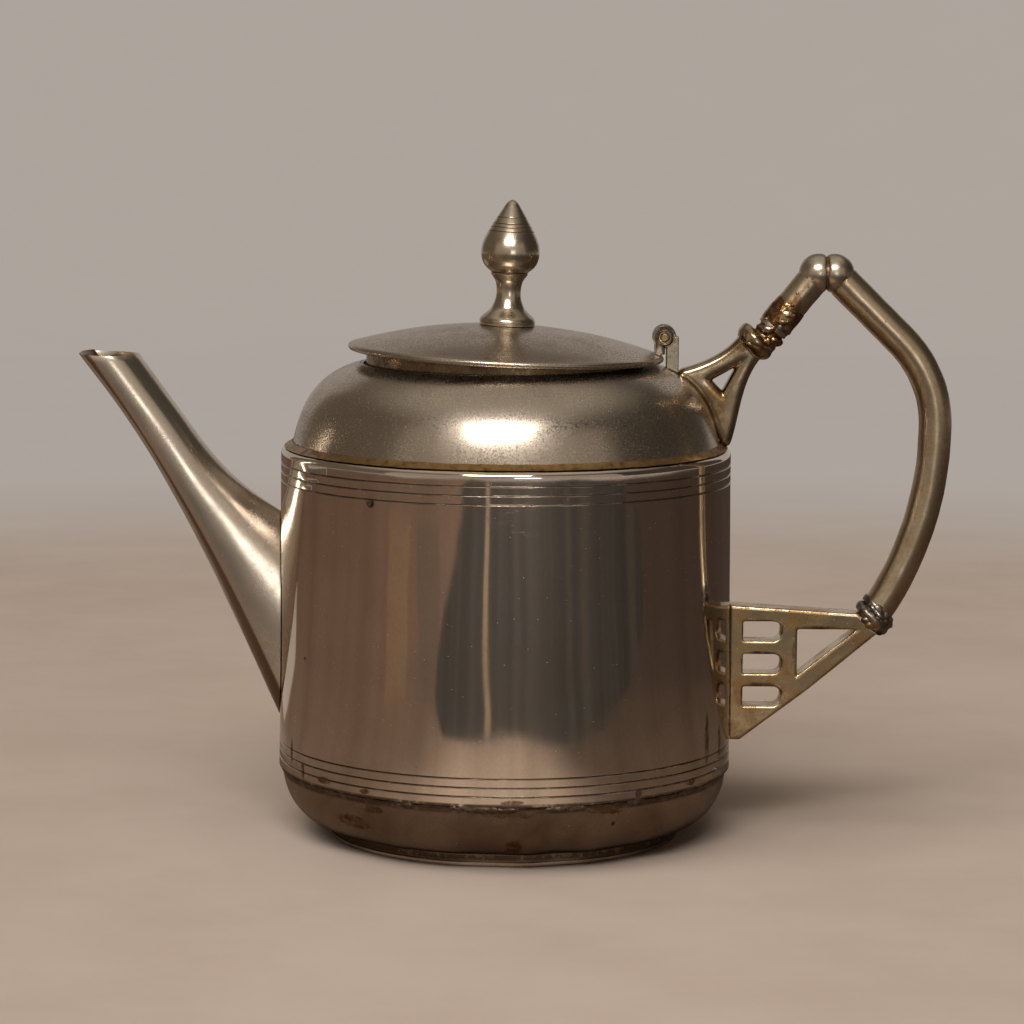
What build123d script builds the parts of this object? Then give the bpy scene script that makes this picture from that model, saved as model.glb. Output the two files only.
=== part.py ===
from build123d import *
from math import cos, radians, sin, sqrt
import os

# A metal teapot with a hinged lid, in millimetres.
# The origin is the middle of the foot ring on the table, +Z up.
# The spout points to -X, the handle and the hinge are at +X.

os.makedirs("parts", exist_ok=True)

# Sheet and joints
sheet = 0.7  # wall of barrel, shoulder, pan and lid
film = 0.05  # solder film between pieces that are soldered together
running_fit = 0.05  # radial gap of the hinge pin in the ears that turn on it

# Pan and foot
foot_inset = 12.5  # the foot ring stands this far in from the barrel
foot_height = 3.0
foot_band = 1.4  # radial width of the foot ring
pan_depth = 14.2  # from the base seam down to the floor
pan_lap = 4.0  # how far the pan goes up inside the barrel

# Barrel
barrel_radius = 56.0  # at the base seam
barrel_length = 79.1
barrel_taper = 0.5  # the rim is this much narrower in radius
rim_rounding = 1.7
line_pitch = 2.15  # between engraved lines
line_cut = 0.28  # radius of the graver's cut
line_count = 3
upper_lines_drop = 3.7  # from the rim to the first line
lower_lines_rise = 2.35  # from the base seam to the lowest line

# Shoulder and mouth
shoulder_inset = 1.9  # its foot stands this far in from the rim
shoulder_side_in = 3.2
shoulder_side_up = 8.3
shoulder_rise = 20.5  # from the barrel's rim to the mouth
shoulder_lap = 4.0  # how far it goes down inside the barrel
mouth_inset = 20.3  # from the rim
collar_wall = 0.75
collar_depth = 7.0
seam_leg = 1.0  # legs of the solder fillets at both seams

# Lid
ajar_angle = 2.2  # the lid stands this far open at rest, in degrees
lid_overhang = 3.7  # rim beyond the mouth
lid_seat_gap = 0.3  # between rim and shoulder when shut
lid_bead = 0.95  # radius of the rim's bead
dome_rise = 5.8  # from the bead to the top of the dome
flange_clearance = 1.0  # room that the flange needs to swing out of the mouth
flange_wall = 0.6
flange_depth = 6.0  # below the bead

# Hinge
hinge_height = 6.45  # pin above the bead's underside
hinge_inset = 0.25  # pin inside the lid's edge
pin_radius = 1.0
pin_proud = 0.5  # pin beyond the ears at each side
knuckle_radius = 2.9
knuckle_width = 4.4
ear_radius = 2.15
ear_width = 2.2
ear_side_gap = 0.25
ear_neck = 1.5  # width of the ears' necks
post_gap = 0.4  # lid's edge to post
post_depth = 2.9

# Finial
finial_foot = 7.3
finial_foot_edge = 0.5
finial_foot_height = 2.7
stem_throat = 4.3  # at both ends of the hollow-sided stem
stem_waist = 3.05
stem_waist_height = 7.9
stem_collar = 4.75
stem_collar_height = 0.85
stem_height = 12.35
bulb_radius = 7.4
bulb_belly = 5.1  # height of its widest place
bulb_height = 18.2
ring_cut = 0.3  # radius of the cut rings on the bulb
shank_radius = 1.5
shank_proud = 0.8  # beyond the nut
stud_radius = 1.4
stud_length = 5.0
washer_radius = 4.5
washer_thickness = 0.8
nut_flats = 7.0
nut_height = 2.4

# Spout, as distances out from the barrel and heights below its rim
spout_mouth_out = 34.2  # to the inner corner of the mouth
spout_mouth_up = 22.1
spout_mouth_length = 15.0
spout_mouth_half_width = 8.0
spout_wall = 0.8
spout_root_drop = 16.5  # from the rim to the top of its root
spout_root_rise = 12.1  # from the base seam to the bottom of its root
spout_root_depth = 3.5  # how far it runs into the barrel before it is cut
spout_root_half_width = 9.0
widest_share = 0.34  # where a section is widest, from its lower edge
strainer_hole = 2.4
strainer_pitch = 4.4

# Handle, as distances out from the barrel and heights above its rim
bead_out = 5.2
bead_up = 26.2
bead_tilt = 37.0
bead_radius = 4.9
bead_thickness = 3.0
fork_width = 5.4
fork_tip_gap = 0.8  # from the hinge's post to the tip of the upper arm
fork_rounding = 1.1
fork_bite = 0.3  # how deep the arms run into the bead
neck_radius = 3.5
neck_length = 3.3
grip_bore = 3.6
short_grip_radius = 4.0
grip_radius = 4.15
elbow_out = 22.3
elbow_up = 43.0
elbow_half_gap = 2.0
elbow_radius = 4.8
spigot_length = 4.0
spigot_clearance = 0.3
run_out = 41.0  # end of the straight run below the elbow
run_up = 26.55
reach_out = 49.7  # the bow's farthest point
reach_up = 5.4
collar_out = 35.0
collar_drop = 3.3  # below the plate's top
collar_tilt = 44.0
collar_radius = 5.3
collar_thickness = 3.0
repair_lap = 6.5  # how far the repair solder runs up the short bar
repair_back = 1.8  # and back over the neck
lower_repair_lap = 1.6
repair_skin = 0.35
lump_radius = 1.5
lump_count = 4  # in each row of lumps
lumps_from = 150.0  # a row's first lump, in degrees round the bar from its far side
lumps_over = 140.0  # the angle that a row covers

# Lower bracket
plate_width = 7.5
plate_edge = 0.5
plate_top_share = 0.493  # its top lies this share of the barrel's length below the rim
plate_height = 33.7
plate_foot_out = 2.4  # where the sloping edge ends, out from the barrel
plate_bow = 0.5  # how far the sloping edge is bent out at its middle
plate_end_half_width = 3.4
slot_length = 9.4
slot_inset = 3.0  # barrel to slots
slot_height_share = 0.145  # of the plate's height, as are the next two
slot_pitch_share = 0.242
slot_drop_share = 0.119  # plate's top to the first slot
slot_corner_share = 0.39  # rounding of a slot's end, as a share of its height
slot_count = 3
frame_width = 4.0  # of the plate round its three-cornered hole

# Heights and radii that follow
seam_height = foot_height + pan_depth
rim_height = seam_height + barrel_length
mouth_height = rim_height + shoulder_rise
rim_radius = barrel_radius - barrel_taper
foot_radius = barrel_radius - foot_inset
shoulder_foot_radius = rim_radius - shoulder_inset
mouth_radius = rim_radius - mouth_inset
spout_root_top = rim_height - spout_root_drop
spout_root_bottom = seam_height + spout_root_rise
lid_radius = mouth_radius + lid_overhang
bead_bottom = mouth_height + lid_seat_gap
bead_centre_radius = lid_radius - lid_bead
dome_edge_height = bead_bottom + 2 * lid_bead
dome_top = dome_edge_height + dome_rise
dome_sphere = (bead_centre_radius**2 + dome_rise**2) / (2 * dome_rise)
flange_radius = mouth_radius - flange_clearance
hinge_x = lid_radius - hinge_inset
hinge_z = bead_bottom + hinge_height
post_in = lid_radius + post_gap
post_out = post_in + post_depth
plate_top_drop = barrel_length * plate_top_share


def wall_radius(height):
    """Outer radius of the barrel at a height."""
    return barrel_radius - barrel_taper * (height - seam_height) / barrel_length


def dome_height(radius, depth=0.0):
    """Height of the lid's dome at a radius and a depth below its outer surface, lid shut."""
    return dome_top - dome_sphere + sqrt((dome_sphere - depth) ** 2 - radius**2)


def from_rim(out, up):
    """A point of the side view, measured from the barrel's rim."""
    return Vector(barrel_radius + out, rim_height + up)


def heading(angle):
    """A direction of the side view that leans up from +X by the angle."""
    return Vector(cos(radians(angle)), sin(radians(angle)))


def square_to(lean):
    """The direction a quarter turn to the left of a direction of the side view."""
    return Vector(-lean.Y, lean.X)


def in_space(place):
    """A point or direction of the side view, in the part's own frame."""
    return Vector(place.X, 0, place.Y)


def plane_across(point, lean, forward=0.0):
    """The plane across the side view at a point, moved forward along its normal."""
    middle = in_space(point + lean * forward)
    return Plane(origin=middle, x_dir=(0, 1, 0), z_dir=in_space(lean))


def round_edged_disc(point, lean, radius, thickness):
    """A disc with a full-round rim, across the side view."""
    with BuildPart() as disc:
        with BuildSketch(plane_across(point, lean)):
            Circle(radius)
        extrude(amount=thickness / 2, both=True)
        fillet(disc.edges(), thickness / 2 - film)
    return disc.part


# The pan drops in from the barrel's foot to a flat floor on the foot ring
pan_radius = barrel_radius - sheet - film
with BuildPart() as base_pan:
    with BuildSketch(Plane.XZ):
        with BuildLine():
            Polyline(
                (foot_radius, foot_height),
                (0, foot_height),
                (0, seam_height + pan_lap),
                (pan_radius, seam_height + pan_lap),
                (pan_radius, seam_height),
            )
            EllipticalCenterArc(
                (foot_radius, seam_height),
                pan_radius - foot_radius,
                pan_depth,
                start_angle=270,
                arc_size=90,
            )
        make_face()
        with BuildLine():
            Polyline(
                (foot_radius, foot_height + sheet),
                (0, foot_height + sheet),
                (0, seam_height + pan_lap),
                (pan_radius - sheet, seam_height + pan_lap),
                (pan_radius - sheet, seam_height),
            )
            EllipticalCenterArc(
                (foot_radius, seam_height),
                pan_radius - sheet - foot_radius,
                pan_depth - sheet,
                start_angle=270,
                arc_size=90,
            )
        make_face(mode=Mode.SUBTRACT)
    revolve(axis=Axis.Z)
base_pan.part.label = "base_pan"
export_step(base_pan.part, "parts/base_pan.step")

with BuildPart() as foot_ring:
    with BuildSketch():
        Circle(foot_radius)
        Circle(foot_radius - foot_band, mode=Mode.SUBTRACT)
    extrude(amount=foot_height)
    fillet(foot_ring.edges().group_by(Axis.Z)[0], foot_band / 4)
foot_ring.part.label = "foot_ring"
export_step(foot_ring.part, "parts/foot_ring.step")

# The barrel, with its rolled edge, engraved lines and strainer holes
lower_lines = [seam_height + lower_lines_rise + n * line_pitch for n in range(line_count)]
upper_lines = [rim_height - upper_lines_drop - n * line_pitch for n in range(line_count)]
strainer_height = (spout_root_top + spout_root_bottom) / 2
with BuildPart() as barrel:
    with BuildSketch(Plane.XZ) as barrel_section:
        with BuildLine():
            Polyline(
                (barrel_radius, seam_height),
                (rim_radius, rim_height),
                (shoulder_foot_radius + film, rim_height),
                (shoulder_foot_radius + film, rim_height - sheet),
                (rim_radius - sheet, rim_height - sheet),
                (barrel_radius - sheet, seam_height),
                close=True,
            )
        make_face()
        outer_corner = barrel_section.vertices().sort_by_distance((rim_radius, rim_height))[0]
        fillet(outer_corner, rim_rounding)
        inner_corner = barrel_section.vertices().sort_by_distance(
            (rim_radius - sheet, rim_height - sheet)
        )[0]
        fillet(inner_corner, rim_rounding - sheet)
        with Locations([(wall_radius(h), h) for h in lower_lines + upper_lines]):
            Circle(line_cut, mode=Mode.SUBTRACT)
    revolve(axis=Axis.Z)
    with BuildSketch(Plane.YZ.offset(-barrel_radius - 1)):
        with Locations((0, strainer_height)):
            with GridLocations(strainer_pitch, strainer_pitch, 3, 7):
                Circle(strainer_hole / 2)
    extrude(amount=barrel_radius / 4, mode=Mode.SUBTRACT)
barrel.part.label = "barrel"
export_step(barrel.part, "parts/barrel.step")

# The shoulder's outline runs from inside the barrel to the mouth
collar_radius_out = mouth_radius + collar_wall
with BuildPart() as shoulder:
    with BuildSketch(Plane.XZ):
        with BuildLine():
            shoulder_run = Polyline(
                (shoulder_foot_radius, rim_height - shoulder_lap),
                (shoulder_foot_radius, rim_height),
                (shoulder_foot_radius - shoulder_side_in, rim_height + shoulder_side_up),
            )
            TangentArc(
                shoulder_run @ 1,
                (collar_radius_out + film, mouth_height),
                tangent=shoulder_run % 1,
            )
            offset(amount=sheet, side=Side.LEFT)
        make_face()
    revolve(axis=Axis.Z)
    with Locations((0, 0, mouth_height)):
        Hole(collar_radius_out + film)
shoulder.part.label = "shoulder"
export_step(shoulder.part, "parts/shoulder.step")

# The same outline as a solid form, for what stands on the shoulder
with BuildPart() as shoulder_form:
    with BuildSketch(Plane.XZ):
        with BuildLine():
            form_run = Polyline(
                (0, rim_height - shoulder_lap),
                (shoulder_foot_radius + film, rim_height - shoulder_lap),
                (shoulder_foot_radius + film, rim_height),
                (shoulder_foot_radius + film - shoulder_side_in, rim_height + shoulder_side_up),
            )
            form_top = TangentArc(
                form_run @ 1,
                (collar_radius_out + film, mouth_height + film),
                tangent=form_run % 1,
            )
            Polyline(form_top @ 1, (0, mouth_height + film), form_run @ 0)
        make_face()
    revolve(axis=Axis.Z)

# The barrel as a solid form, for what stands against it
with BuildPart() as barrel_form:
    with BuildSketch(Plane.XZ):
        with BuildLine():
            Polyline(
                (0, seam_height),
                (barrel_radius + film, seam_height),
                (rim_radius + film, rim_height + film),
                (0, rim_height + film),
                close=True,
            )
        make_face()
    revolve(axis=Axis.Z)

with BuildPart() as mouth_collar:
    with BuildSketch(Plane.XY.offset(mouth_height - collar_depth)):
        Circle(collar_radius_out)
        Circle(mouth_radius, mode=Mode.SUBTRACT)
    extrude(amount=collar_depth)
    fillet(mouth_collar.edges().group_by(Axis.Z)[-1], collar_wall / 3)
mouth_collar.part.label = "mouth_collar"
export_step(mouth_collar.part, "parts/mouth_collar.step")

# The solder lines lie as small fillets at the two seams
slope_share = shoulder_side_in / shoulder_side_up
with BuildPart() as shoulder_seam:
    with BuildSketch(Plane.XZ):
        with BuildLine():
            Polyline(
                (shoulder_foot_radius + film, rim_height + film),
                (shoulder_foot_radius + seam_leg, rim_height + film),
                (shoulder_foot_radius + film - slope_share * seam_leg, rim_height + film + seam_leg),
                close=True,
            )
        make_face()
    revolve(axis=Axis.Z)
shoulder_seam.part.label = "shoulder_seam"
export_step(shoulder_seam.part, "parts/shoulder_seam.step")

pan_share = sqrt(1 - (seam_leg / pan_depth) ** 2)
with BuildPart() as base_seam:
    with BuildSketch(Plane.XZ):
        with BuildLine():
            Polyline(
                (pan_radius + film, seam_height - film),
                (barrel_radius - film, seam_height - film),
                (
                    foot_radius + (pan_radius - foot_radius) * pan_share + film,
                    seam_height - seam_leg,
                ),
                close=True,
            )
        make_face()
    revolve(axis=Axis.Z)
base_seam.part.label = "base_seam"
export_step(base_seam.part, "parts/base_seam.step")

# The spout is lofted through egg-shaped sections that turn from the level
# mouth to the upright root. Each runs from a point of its lower edge to one of
# its upper edge, in shares of the way out from the wall and down from the mouth
wall = -barrel_radius
mouth_level = rim_height + spout_mouth_up
upper_shares = [(1, 0), (0.743, 0.313), (0.477, 0.63), (0.205, 0.865), (0, 1.05)]
lower_shares = [(1, 0), (0.764, 0.177), (0.547, 0.374), (0.315, 0.624), (0, 1.094)]


def spout_edge(shares, reach_out, foot_level):
    """The points of one edge, the last of them inside the barrel."""
    points = [
        Vector(wall - out * reach_out, 0, mouth_level - down * (mouth_level - foot_level))
        for out, down in shares
    ]
    points[-1] += Vector(spout_root_depth, 0, 0)
    return points


spout_upper_edge = spout_edge(upper_shares, spout_mouth_out, spout_root_top)
spout_lower_edge = spout_edge(
    lower_shares, spout_mouth_out + spout_mouth_length, spout_root_bottom
)
spout_half_widths = [
    spout_mouth_half_width + share * (spout_root_half_width - spout_mouth_half_width)
    for share in (0.0, 0.0, 0.3, 0.7, 1.0)
]


def spout_loft(inset):
    """The spout's solid, drawn in by the inset all round."""
    with BuildPart() as body:
        for high, low, half_width in zip(spout_upper_edge, spout_lower_edge, spout_half_widths):
            along = (high - low).normalized()
            reach = (high - low).length
            middle = low + along * (reach * widest_share)
            with BuildSketch(Plane(origin=middle, x_dir=along, z_dir=along.cross(Vector(0, 1, 0)))):
                with BuildLine():
                    EllipticalCenterArc(
                        (0, 0),
                        reach * (1 - widest_share) - inset,
                        half_width - inset,
                        start_angle=-90,
                        arc_size=180,
                    )
                    EllipticalCenterArc(
                        (0, 0),
                        reach * widest_share - inset,
                        half_width - inset,
                        start_angle=90,
                        arc_size=180,
                    )
                make_face()
        loft()
    return body.part


spout_outside = spout_loft(0)
spout_bore = spout_loft(spout_wall)
for side, kept in (("spout_right_shell", Keep.TOP), ("spout_left_shell", Keep.BOTTOM)):
    with BuildPart() as spout_half:
        add(spout_outside)
        add(spout_bore, mode=Mode.SUBTRACT)
        add(barrel_form.part, mode=Mode.SUBTRACT)
        split(bisect_by=Plane.XZ, keep=kept)
    spout_half.part.label = side
    export_step(spout_half.part, f"parts/{side}.step")

# The upper fork is one casting: three arms, a bead, a neck and a spigot
bead_point = from_rim(bead_out, bead_up)
bead_lean = heading(bead_tilt)
arms_end = bead_point - bead_lean * (bead_thickness / 2 - fork_bite)
arms_top = arms_end + square_to(bead_lean) * neck_radius
arms_foot = arms_end - square_to(bead_lean) * neck_radius
neck_end = bead_point + bead_lean * (bead_thickness / 2 + neck_length)

lobe_near = from_rim(elbow_out - elbow_half_gap, elbow_up)
lobe_far = from_rim(elbow_out + elbow_half_gap, elbow_up)
upper_lean = (lobe_near - neck_end).normalized()
short_grip_length = (lobe_near - neck_end).length


def fork_point(out, up):
    """A point of the fork's outline, in shares of its bead's height above the rim."""
    return from_rim(out * bead_up, up * bead_up)


fork_tip = Vector(post_out + fork_tip_gap, fork_point(0, 0.725).Y)
with BuildPart() as upper_fork:
    with BuildSketch(Plane.XZ):
        with BuildLine():
            upper_arm = Spline(
                arms_top,
                fork_point(-0.042, 0.943),
                fork_point(-0.313, 0.782),
                fork_tip,
            )
            foot_run = Polyline(
                upper_arm @ 1,
                fork_point(-0.65, 0.534),
                fork_point(-0.267, 0.038),
                fork_point(-0.05, 0.023),
            )
            Spline(foot_run @ 1, fork_point(-0.004, 0.183), fork_point(0.067, 0.5), arms_foot)
            Line(arms_foot, arms_top)
        make_face()
        with BuildLine():
            Polyline(
                fork_point(-0.237, 0.641),
                fork_point(-0.111, 0.508),
                fork_point(0.042, 0.794),
                close=True,
            )
        make_face(mode=Mode.SUBTRACT)
    extrude(amount=fork_width / 2, both=True)
    fillet(upper_fork.faces().filter_by(Axis.Y).edges(), fork_rounding)
    add(shoulder_form.part, mode=Mode.SUBTRACT)
    add(barrel_form.part, mode=Mode.SUBTRACT)
    add(shoulder_seam.part, mode=Mode.SUBTRACT)
    add(round_edged_disc(bead_point, bead_lean, bead_radius, bead_thickness))
    with BuildSketch(plane_across(bead_point, bead_lean)):
        Circle(neck_radius)
    extrude(amount=2 * neck_length + bead_thickness)
    split(bisect_by=plane_across(neck_end, upper_lean, -film), keep=Keep.BOTTOM)
    with BuildSketch(plane_across(neck_end, upper_lean, -fork_bite)):
        Circle(grip_bore / 2 - spigot_clearance)
    extrude(amount=spigot_length + fork_bite)
upper_fork.part.label = "upper_fork"
export_step(upper_fork.part, "parts/upper_fork.step")

# The elbow's two lobes carry a spigot for each bar
grip_run_end = from_rim(run_out, run_up)
run_lean = (grip_run_end - lobe_far).normalized()
with BuildPart() as elbow_bead:
    with Locations(in_space(lobe_near), in_space(lobe_far)):
        Sphere(elbow_radius)
    with BuildSketch(plane_across(lobe_near, -upper_lean), plane_across(lobe_far, run_lean)):
        Circle(grip_bore / 2 - spigot_clearance)
    extrude(amount=elbow_radius + spigot_length)
elbow_bead.part.label = "elbow_bead"
export_step(elbow_bead.part, "parts/elbow_bead.step")

with BuildPart() as elbow_form:
    with Locations(in_space(lobe_near), in_space(lobe_far)):
        Sphere(elbow_radius + film)

with BuildPart() as grip_upper_tube:
    with BuildSketch(plane_across(neck_end, upper_lean)):
        Circle(short_grip_radius)
        Circle(grip_bore / 2, mode=Mode.SUBTRACT)
    extrude(amount=short_grip_length)
    add(elbow_form.part, mode=Mode.SUBTRACT)
grip_upper_tube.part.label = "grip_upper_tube"
export_step(grip_upper_tube.part, "parts/grip_upper_tube.step")

# The repair solder wraps the joint of neck and short bar
with BuildPart() as upper_repair_solder:
    with BuildSketch(plane_across(neck_end, upper_lean, -repair_back)):
        Circle(short_grip_radius + repair_skin)
    extrude(amount=repair_back + repair_lap)
    with Locations(plane_across(neck_end, upper_lean)):
        with PolarLocations(short_grip_radius, lump_count, lumps_from, lumps_over):
            Sphere(lump_radius)
    with Locations(plane_across(neck_end, upper_lean, repair_lap - lump_radius)):
        with PolarLocations(short_grip_radius, lump_count - 1, lumps_from, lumps_over):
            Sphere(lump_radius)
    with BuildSketch(plane_across(neck_end, upper_lean, -film)):
        Circle(short_grip_radius + film)
    extrude(amount=2 * repair_lap, mode=Mode.SUBTRACT)
    with BuildSketch(plane_across(bead_point, bead_lean)):
        Circle(neck_radius + film)
    extrude(amount=2 * neck_length + bead_thickness / 2, mode=Mode.SUBTRACT)
upper_repair_solder.part.label = "upper_repair_solder"
export_step(upper_repair_solder.part, "parts/upper_repair_solder.step")

# The long bar runs straight from the elbow, then in two arcs to the lower collar,
# where it ends crooked on the collar's face
lower_joint = from_rim(collar_out, -plate_top_drop - collar_drop)
collar_lean = heading(collar_tilt)
collar_face = plane_across(lower_joint, collar_lean, collar_thickness / 2 + film)
with BuildLine() as grip_path:
    grip_run = Line(in_space(lobe_far), in_space(grip_run_end))
    grip_bow = TangentArc(
        grip_run @ 1, in_space(from_rim(reach_out, reach_up)), tangent=grip_run % 1
    )
    grip_tail = TangentArc(grip_bow @ 1, in_space(lower_joint), tangent=grip_bow % 1)
grip_end = Plane(origin=grip_tail @ 1, x_dir=(0, 1, 0), z_dir=-(grip_tail % 1))


def grip_sweep(radius):
    """The long bar as a solid of a given radius, from inside the elbow to the collar's face."""
    with BuildPart() as bar:
        with BuildSketch(plane_across(lobe_far, run_lean)):
            Circle(radius)
        sweep(path=grip_path.wire())
        split(bisect_by=collar_face, keep=Keep.TOP)
    return bar.part


with BuildPart() as grip_lower_tube:
    add(grip_sweep(grip_radius))
    add(grip_sweep(grip_bore / 2), mode=Mode.SUBTRACT)
    add(elbow_form.part, mode=Mode.SUBTRACT)
grip_lower_tube.part.label = "grip_lower_tube"
export_step(grip_lower_tube.part, "parts/grip_lower_tube.step")

with BuildPart() as lower_collar:
    add(round_edged_disc(lower_joint, collar_lean, collar_radius, collar_thickness))
    with BuildSketch(grip_end):
        Circle(grip_bore / 2 - spigot_clearance)
    extrude(amount=spigot_length)
lower_collar.part.label = "lower_collar"
export_step(lower_collar.part, "parts/lower_collar.step")

with BuildPart() as lower_repair_solder:
    add(grip_sweep(grip_radius + repair_skin))
    split(bisect_by=collar_face.offset(lower_repair_lap), keep=Keep.BOTTOM)
    with Locations(collar_face):
        with PolarLocations(grip_radius - repair_skin, lump_count, lumps_from, lumps_over):
            Sphere(lump_radius)
    split(bisect_by=collar_face, keep=Keep.TOP)
    add(grip_sweep(grip_radius + film), mode=Mode.SUBTRACT)
lower_repair_solder.part.label = "lower_repair_solder"
export_step(lower_repair_solder.part, "parts/lower_repair_solder.step")

# The lower bracket is a plate with three slots and a three-cornered hole
plate_end = lower_joint - collar_lean * (collar_thickness / 2 + film)
plate_end_top = plate_end + square_to(collar_lean) * plate_end_half_width
plate_end_foot = plate_end - square_to(collar_lean) * plate_end_half_width
plate_top = rim_height - plate_top_drop
plate_foot = Vector(barrel_radius + plate_foot_out, plate_top - plate_height)
plate_slope = (plate_foot - plate_end_foot).normalized()
plate_slope_middle = (plate_foot + plate_end_foot) / 2 + square_to(plate_slope) * plate_bow
slot_height = plate_height * slot_height_share
slot_pitch = plate_height * slot_pitch_share
first_slot = plate_top - plate_height * slot_drop_share - slot_height / 2
slot_end = barrel_radius + slot_inset + slot_length
with BuildPart() as lower_bracket:
    with BuildSketch(Plane.XZ) as plate:
        with BuildLine():
            Polyline(
                (0, plate_top),
                (barrel_radius, plate_top),
                plate_end_top,
                plate_end_foot,
                plate_slope_middle,
                plate_foot,
                (0, plate_foot.Y),
                close=True,
            )
        make_face()
        with BuildLine():
            hole_top = plate_end_top.Y - frame_width
            hole_left = slot_end + frame_width
            edge_up = (plate_end_foot.Y - plate_foot.Y) / (plate_end_foot.X - plate_foot.X)
            inner_edge_drop = frame_width * sqrt(1 + edge_up**2)
            hole_foot = plate_foot.Y + edge_up * (hole_left - plate_foot.X) + inner_edge_drop
            hole_right = hole_left + (hole_top - hole_foot) / edge_up
            Polyline(
                (hole_left, hole_top), (hole_right, hole_top), (hole_left, hole_foot), close=True
            )
        make_face(mode=Mode.SUBTRACT)
    extrude(amount=plate_width / 2, both=True)
    fillet(lower_bracket.faces().filter_by(Axis.Y).edges(), plate_edge)
    with BuildSketch(Plane.XZ) as slots:
        with Locations((slot_end - slot_length / 2, first_slot - slot_pitch)):
            with GridLocations(0, slot_pitch, 1, slot_count):
                Rectangle(slot_length, slot_height)
        fillet(slots.vertices().group_by(Axis.X)[-1], slot_height * slot_corner_share)
    extrude(amount=plate_width, both=True, mode=Mode.SUBTRACT)
    add(barrel_form.part, mode=Mode.SUBTRACT)
lower_bracket.part.label = "lower_bracket"
export_step(lower_bracket.part, "parts/lower_bracket.step")

# The hinge: a lug with the middle knuckle, and the pin that it holds
with BuildPart() as hinge_post:
    with BuildSketch(Plane.XZ):
        with Locations((hinge_x, hinge_z)):
            Circle(knuckle_radius)
        with BuildLine():
            Polyline(
                (post_in, hinge_z),
                (post_out, hinge_z),
                (post_out, rim_height),
                (post_in, rim_height),
                close=True,
            )
        make_face()
        with Locations((hinge_x, hinge_z)):
            Circle(pin_radius + film, mode=Mode.SUBTRACT)
    extrude(amount=knuckle_width / 2, both=True)
    add(shoulder_form.part, mode=Mode.SUBTRACT)
hinge_post.part.label = "hinge_post"
export_step(hinge_post.part, "parts/hinge_post.step")

ear_out = knuckle_width / 2 + ear_side_gap + ear_width
with BuildPart() as hinge_pin:
    with BuildSketch(Plane.XZ):
        with Locations((hinge_x, hinge_z)):
            Circle(pin_radius)
    extrude(amount=ear_out + pin_proud, both=True)
    fillet(hinge_pin.edges(), pin_radius / 4)
hinge_pin.part.label = "hinge_pin"
export_step(hinge_pin.part, "parts/hinge_pin.step")

# The lid is drawn shut on a side plane that stands ajar about the pin
hinge = Location((hinge_x, 0, hinge_z))
lid_pose = hinge * Location((0, 0, 0), (0, ajar_angle, 0)) * hinge.inverse()
lid_side = Plane(lid_pose * Plane.XZ.location)
lid_axis = Axis(lid_side.origin, lid_side.y_dir)
middle_radius = bead_centre_radius / 2
bead_height = bead_bottom + lid_bead


def dome_arc(depth):
    """The dome's arc at a depth below its outer surface, from the axis to the rim's bead."""
    return ThreePointArc(
        (0, dome_height(0, depth)),
        (middle_radius, dome_height(middle_radius, depth)),
        (bead_centre_radius, dome_height(bead_centre_radius, depth)),
    )


with BuildPart() as lid_dome:
    with BuildSketch(lid_side):
        with BuildLine():
            dome_outer = dome_arc(0)
            dome_inner = dome_arc(sheet)
            Line(dome_outer @ 0, dome_inner @ 0)
            Line(dome_outer @ 1, dome_inner @ 1)
        make_face()
        with Locations((bead_centre_radius, bead_height)):
            Circle(lid_bead)
        with Locations((0, dome_top)):
            Rectangle(2 * (shank_radius + film), 2 * dome_rise, mode=Mode.SUBTRACT)
    revolve(axis=lid_axis)
lid_dome.part.label = "lid_dome"
export_step(lid_dome.part, "parts/lid_dome.step")

flange_bore = flange_radius - flange_wall
with BuildPart() as lid_flange:
    with BuildSketch(lid_side):
        with BuildLine():
            Polyline(
                (flange_radius, bead_bottom - flange_depth),
                (flange_radius, dome_height(flange_radius, sheet + film)),
                (flange_bore, dome_height(flange_bore, sheet + film)),
                (flange_bore, bead_bottom - flange_depth),
                close=True,
            )
        make_face()
    revolve(axis=lid_axis)
lid_flange.part.label = "lid_flange"
export_step(lid_flange.part, "parts/lid_flange.step")

# The dome as a solid form, for what stands on the lid
with BuildPart() as dome_form:
    with BuildSketch(lid_side):
        with BuildLine():
            form_arc = dome_arc(-film)
            Polyline(form_arc @ 0, (0, bead_bottom), (bead_centre_radius, bead_bottom), form_arc @ 1)
        make_face()
        with Locations((bead_centre_radius, bead_height)):
            Circle(lid_bead + film)
        with Locations((0, dome_top)):
            Rectangle(dome_rise, 2 * dome_rise, align=(Align.MAX, Align.CENTER), mode=Mode.SUBTRACT)
    revolve(axis=lid_axis)

ear_neck_middle = hinge_x - ear_radius + ear_neck / 2
web_top = hinge_z - knuckle_radius - post_gap
with BuildPart() as lid_hinge_fork:
    with BuildSketch(lid_side):
        with Locations((hinge_x, hinge_z)):
            Circle(ear_radius)
        with Locations((ear_neck_middle, hinge_z)):
            Rectangle(ear_neck, hinge_z - bead_height, align=(Align.CENTER, Align.MAX))
        with Locations((hinge_x, hinge_z)):
            Circle(pin_radius + running_fit, mode=Mode.SUBTRACT)
    extrude(amount=ear_out, both=True)
    with BuildSketch(lid_side):
        with Locations((ear_neck_middle, web_top)):
            Rectangle(4 * knuckle_radius, 4 * knuckle_radius, align=(Align.CENTER, Align.MIN))
    extrude(amount=knuckle_width / 2 + ear_side_gap, both=True, mode=Mode.SUBTRACT)
    add(dome_form.part, mode=Mode.SUBTRACT)
lid_hinge_fork.part.label = "lid_hinge_fork"
export_step(lid_hinge_fork.part, "parts/lid_hinge_fork.step")

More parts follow.
